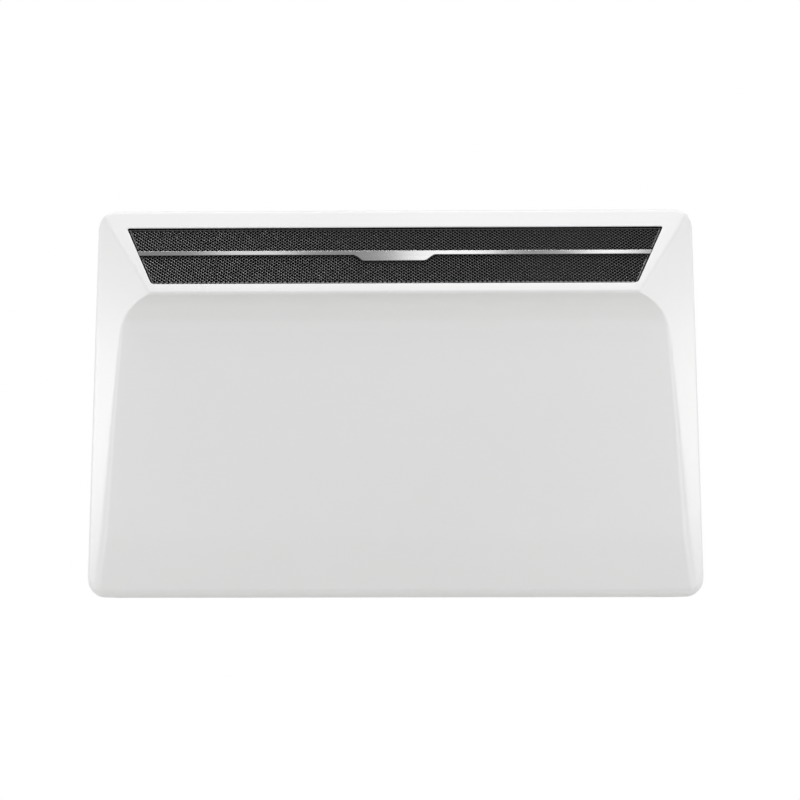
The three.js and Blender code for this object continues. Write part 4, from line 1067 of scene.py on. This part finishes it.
knob_points, knob_faces = joined(stacked(skirt_loops), stacked(grip_loops))
pointer_points, pointer_faces = stacked(pointer_loops)
all_points, all_faces = joined((knob_points, knob_faces), (pointer_points, pointer_faces))
knob = add_mesh("fluted_knob", all_points, all_faces, black_abs, smooth=False)
knob.data.materials.append(pointer_paint)
painted = np.arange(len(all_faces)) >= len(knob_faces)
knob.data.polygons.foreach_set("material_index", painted.astype(np.int32))
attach(knob, "thermostat_knob")
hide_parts("thermostat_knob")

# ---------------------------------------------------------------- cover screws
# Ten zinc plated pan head screws with a cross recess hold the rear cover to the casing's turned-in
# edge. Each was left at another angle by the screwdriver.

shank_radius, tip_radius, tip_gap, tip_length = 1.7, 0.9, 0.8, 1
head_height, head_side, crown_height, crown_step = 2.4, 0.9, 0.75, 0.05
recess_depth, recess_half, recess_slope, recess_reach, recess_end = 1.3, 0.55, 0.12, 2.15, 0.9
turn_apart = 0.7
screw_turn = np.linspace(0, 2 * math.pi, 64, endpoint=False)
crown_radii = np.array([3.55, 3.2, 2.7, 2.25, 2.1, 1.9, 1.6, 1.3, 1, 0.8, 0.65, 0.5, 0.35, 0.15])


def cross_recess(radius, angles):
    """Depth of a cross recess: full inside two crossed bars, less towards the ends of the bars."""
    u, v = np.abs(radius * np.cos(angles)), np.abs(radius * np.sin(angles))
    narrow = np.clip((recess_half - np.minimum(u, v)) / recess_slope, 0, 1)
    return recess_depth * narrow * np.clip((recess_reach - np.maximum(u, v)) / recess_end, 0, 1)


def screw_loop(x, y, z, radius):
    """A circle of a radius round a screw's axis at x and z. Its y is one value, or one a place."""
    across_x, up_z = radius * np.sin(screw_turn), radius * np.cos(screw_turn)
    return np.stack([x + across_x, np.broadcast_to(y, screw_turn.shape), z + up_z], 1)


screw_names = [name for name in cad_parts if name.startswith("cover_screw_")]
screw_skins = []
for index, name in enumerate(screw_names):
    low, high = (np.array(corner) * 1000 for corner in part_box(name))
    x, z = (low[0] + high[0]) / 2, (low[2] + high[2]) / 2
    head_radius = (high[0] - low[0]) / 2
    tip, head = low[1] + tip_gap, high[1] - head_height
    loops = []
    for y, radius in (
        (tip, tip_radius),
        (tip + tip_length, shank_radius),
        (head, shank_radius),
        (head, head_radius),
        (head + head_side, head_radius),
        (high[1] - crown_height - crown_step, head_radius - 0.08),
    ):
        loops.append(screw_loop(x, y, z, radius))
    for radius in crown_radii:
        dome = crown_height * (radius / head_radius) ** 3
        recess = cross_recess(radius, screw_turn - turn_apart * index)
        loops.append(screw_loop(x, high[1] - dome - recess, z, radius))
    screw_skins.append(stacked(loops))
screw_points, screw_faces = joined(*screw_skins)
screws = add_mesh("pan_head_screws", screw_points, screw_faces, zinc_plate, smooth=False)
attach(screws, "heater")
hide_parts(*screw_names)

# ---------------------------------------------------------------- spacers, control box and leads
# Two moulded rubber spacers on the rear cover keep the heater's foot off the wall. The control box
# and the thermostat's body are moulded nylon, and the inner leads are insulated with silicone.

# Moulded rubber: dark grey and matt, with a faint bloom.
bloom_size = 10 / 7
rubber, rubber_shader, rubber_place = new_finish("grey rubber", "3b3d40", 0.85)
rubber_bloom = add_node(
    rubber, "TexNoise", {"Vector": rubber_place, "Scale": 1000 / bloom_size, "Detail": 3}
)
follow(rubber, rubber_shader, rubber_bloom, tones=("35373a", "434548"))
dress(rubber, "wall_spacer_left", "wall_spacer_right")

# Moulded nylon: pale grey and half matt, with a fine grain.
nylon_grain_size = 5 / 8
nylon, nylon_shader, nylon_place = new_finish("grey moulded nylon", "c9cbce", 0.5)
nylon_grain = add_node(
    nylon, "TexNoise", {"Vector": nylon_place, "Scale": 1000 / nylon_grain_size, "Detail": 2}
)
follow(nylon, nylon_shader, nylon_grain, relief=(0.2, 0.0002))
dress(nylon, "control_box", "thermostat")

# Extruded silicone: red or blue all through, with an uneven and dull gloss.
silicone_grain_size = 5 / 6
for name, colour, leads in (
    ("red silicone", "8e2a22", ("lead_cutout", "lead_right")),
    ("blue silicone", "2b4f8c", ("lead_left",)),
):
    silicone, silicone_shader, silicone_place = new_finish(name, colour, 0.6)
    silicone_grain = add_node(
        silicone,
        "TexNoise",
        {"Vector": silicone_place, "Scale": 1000 / silicone_grain_size, "Detail": 2},
    )
    follow(silicone, silicone_shader, silicone_grain, gloss=(0.5, 0.7))
    dress(silicone, *leads)
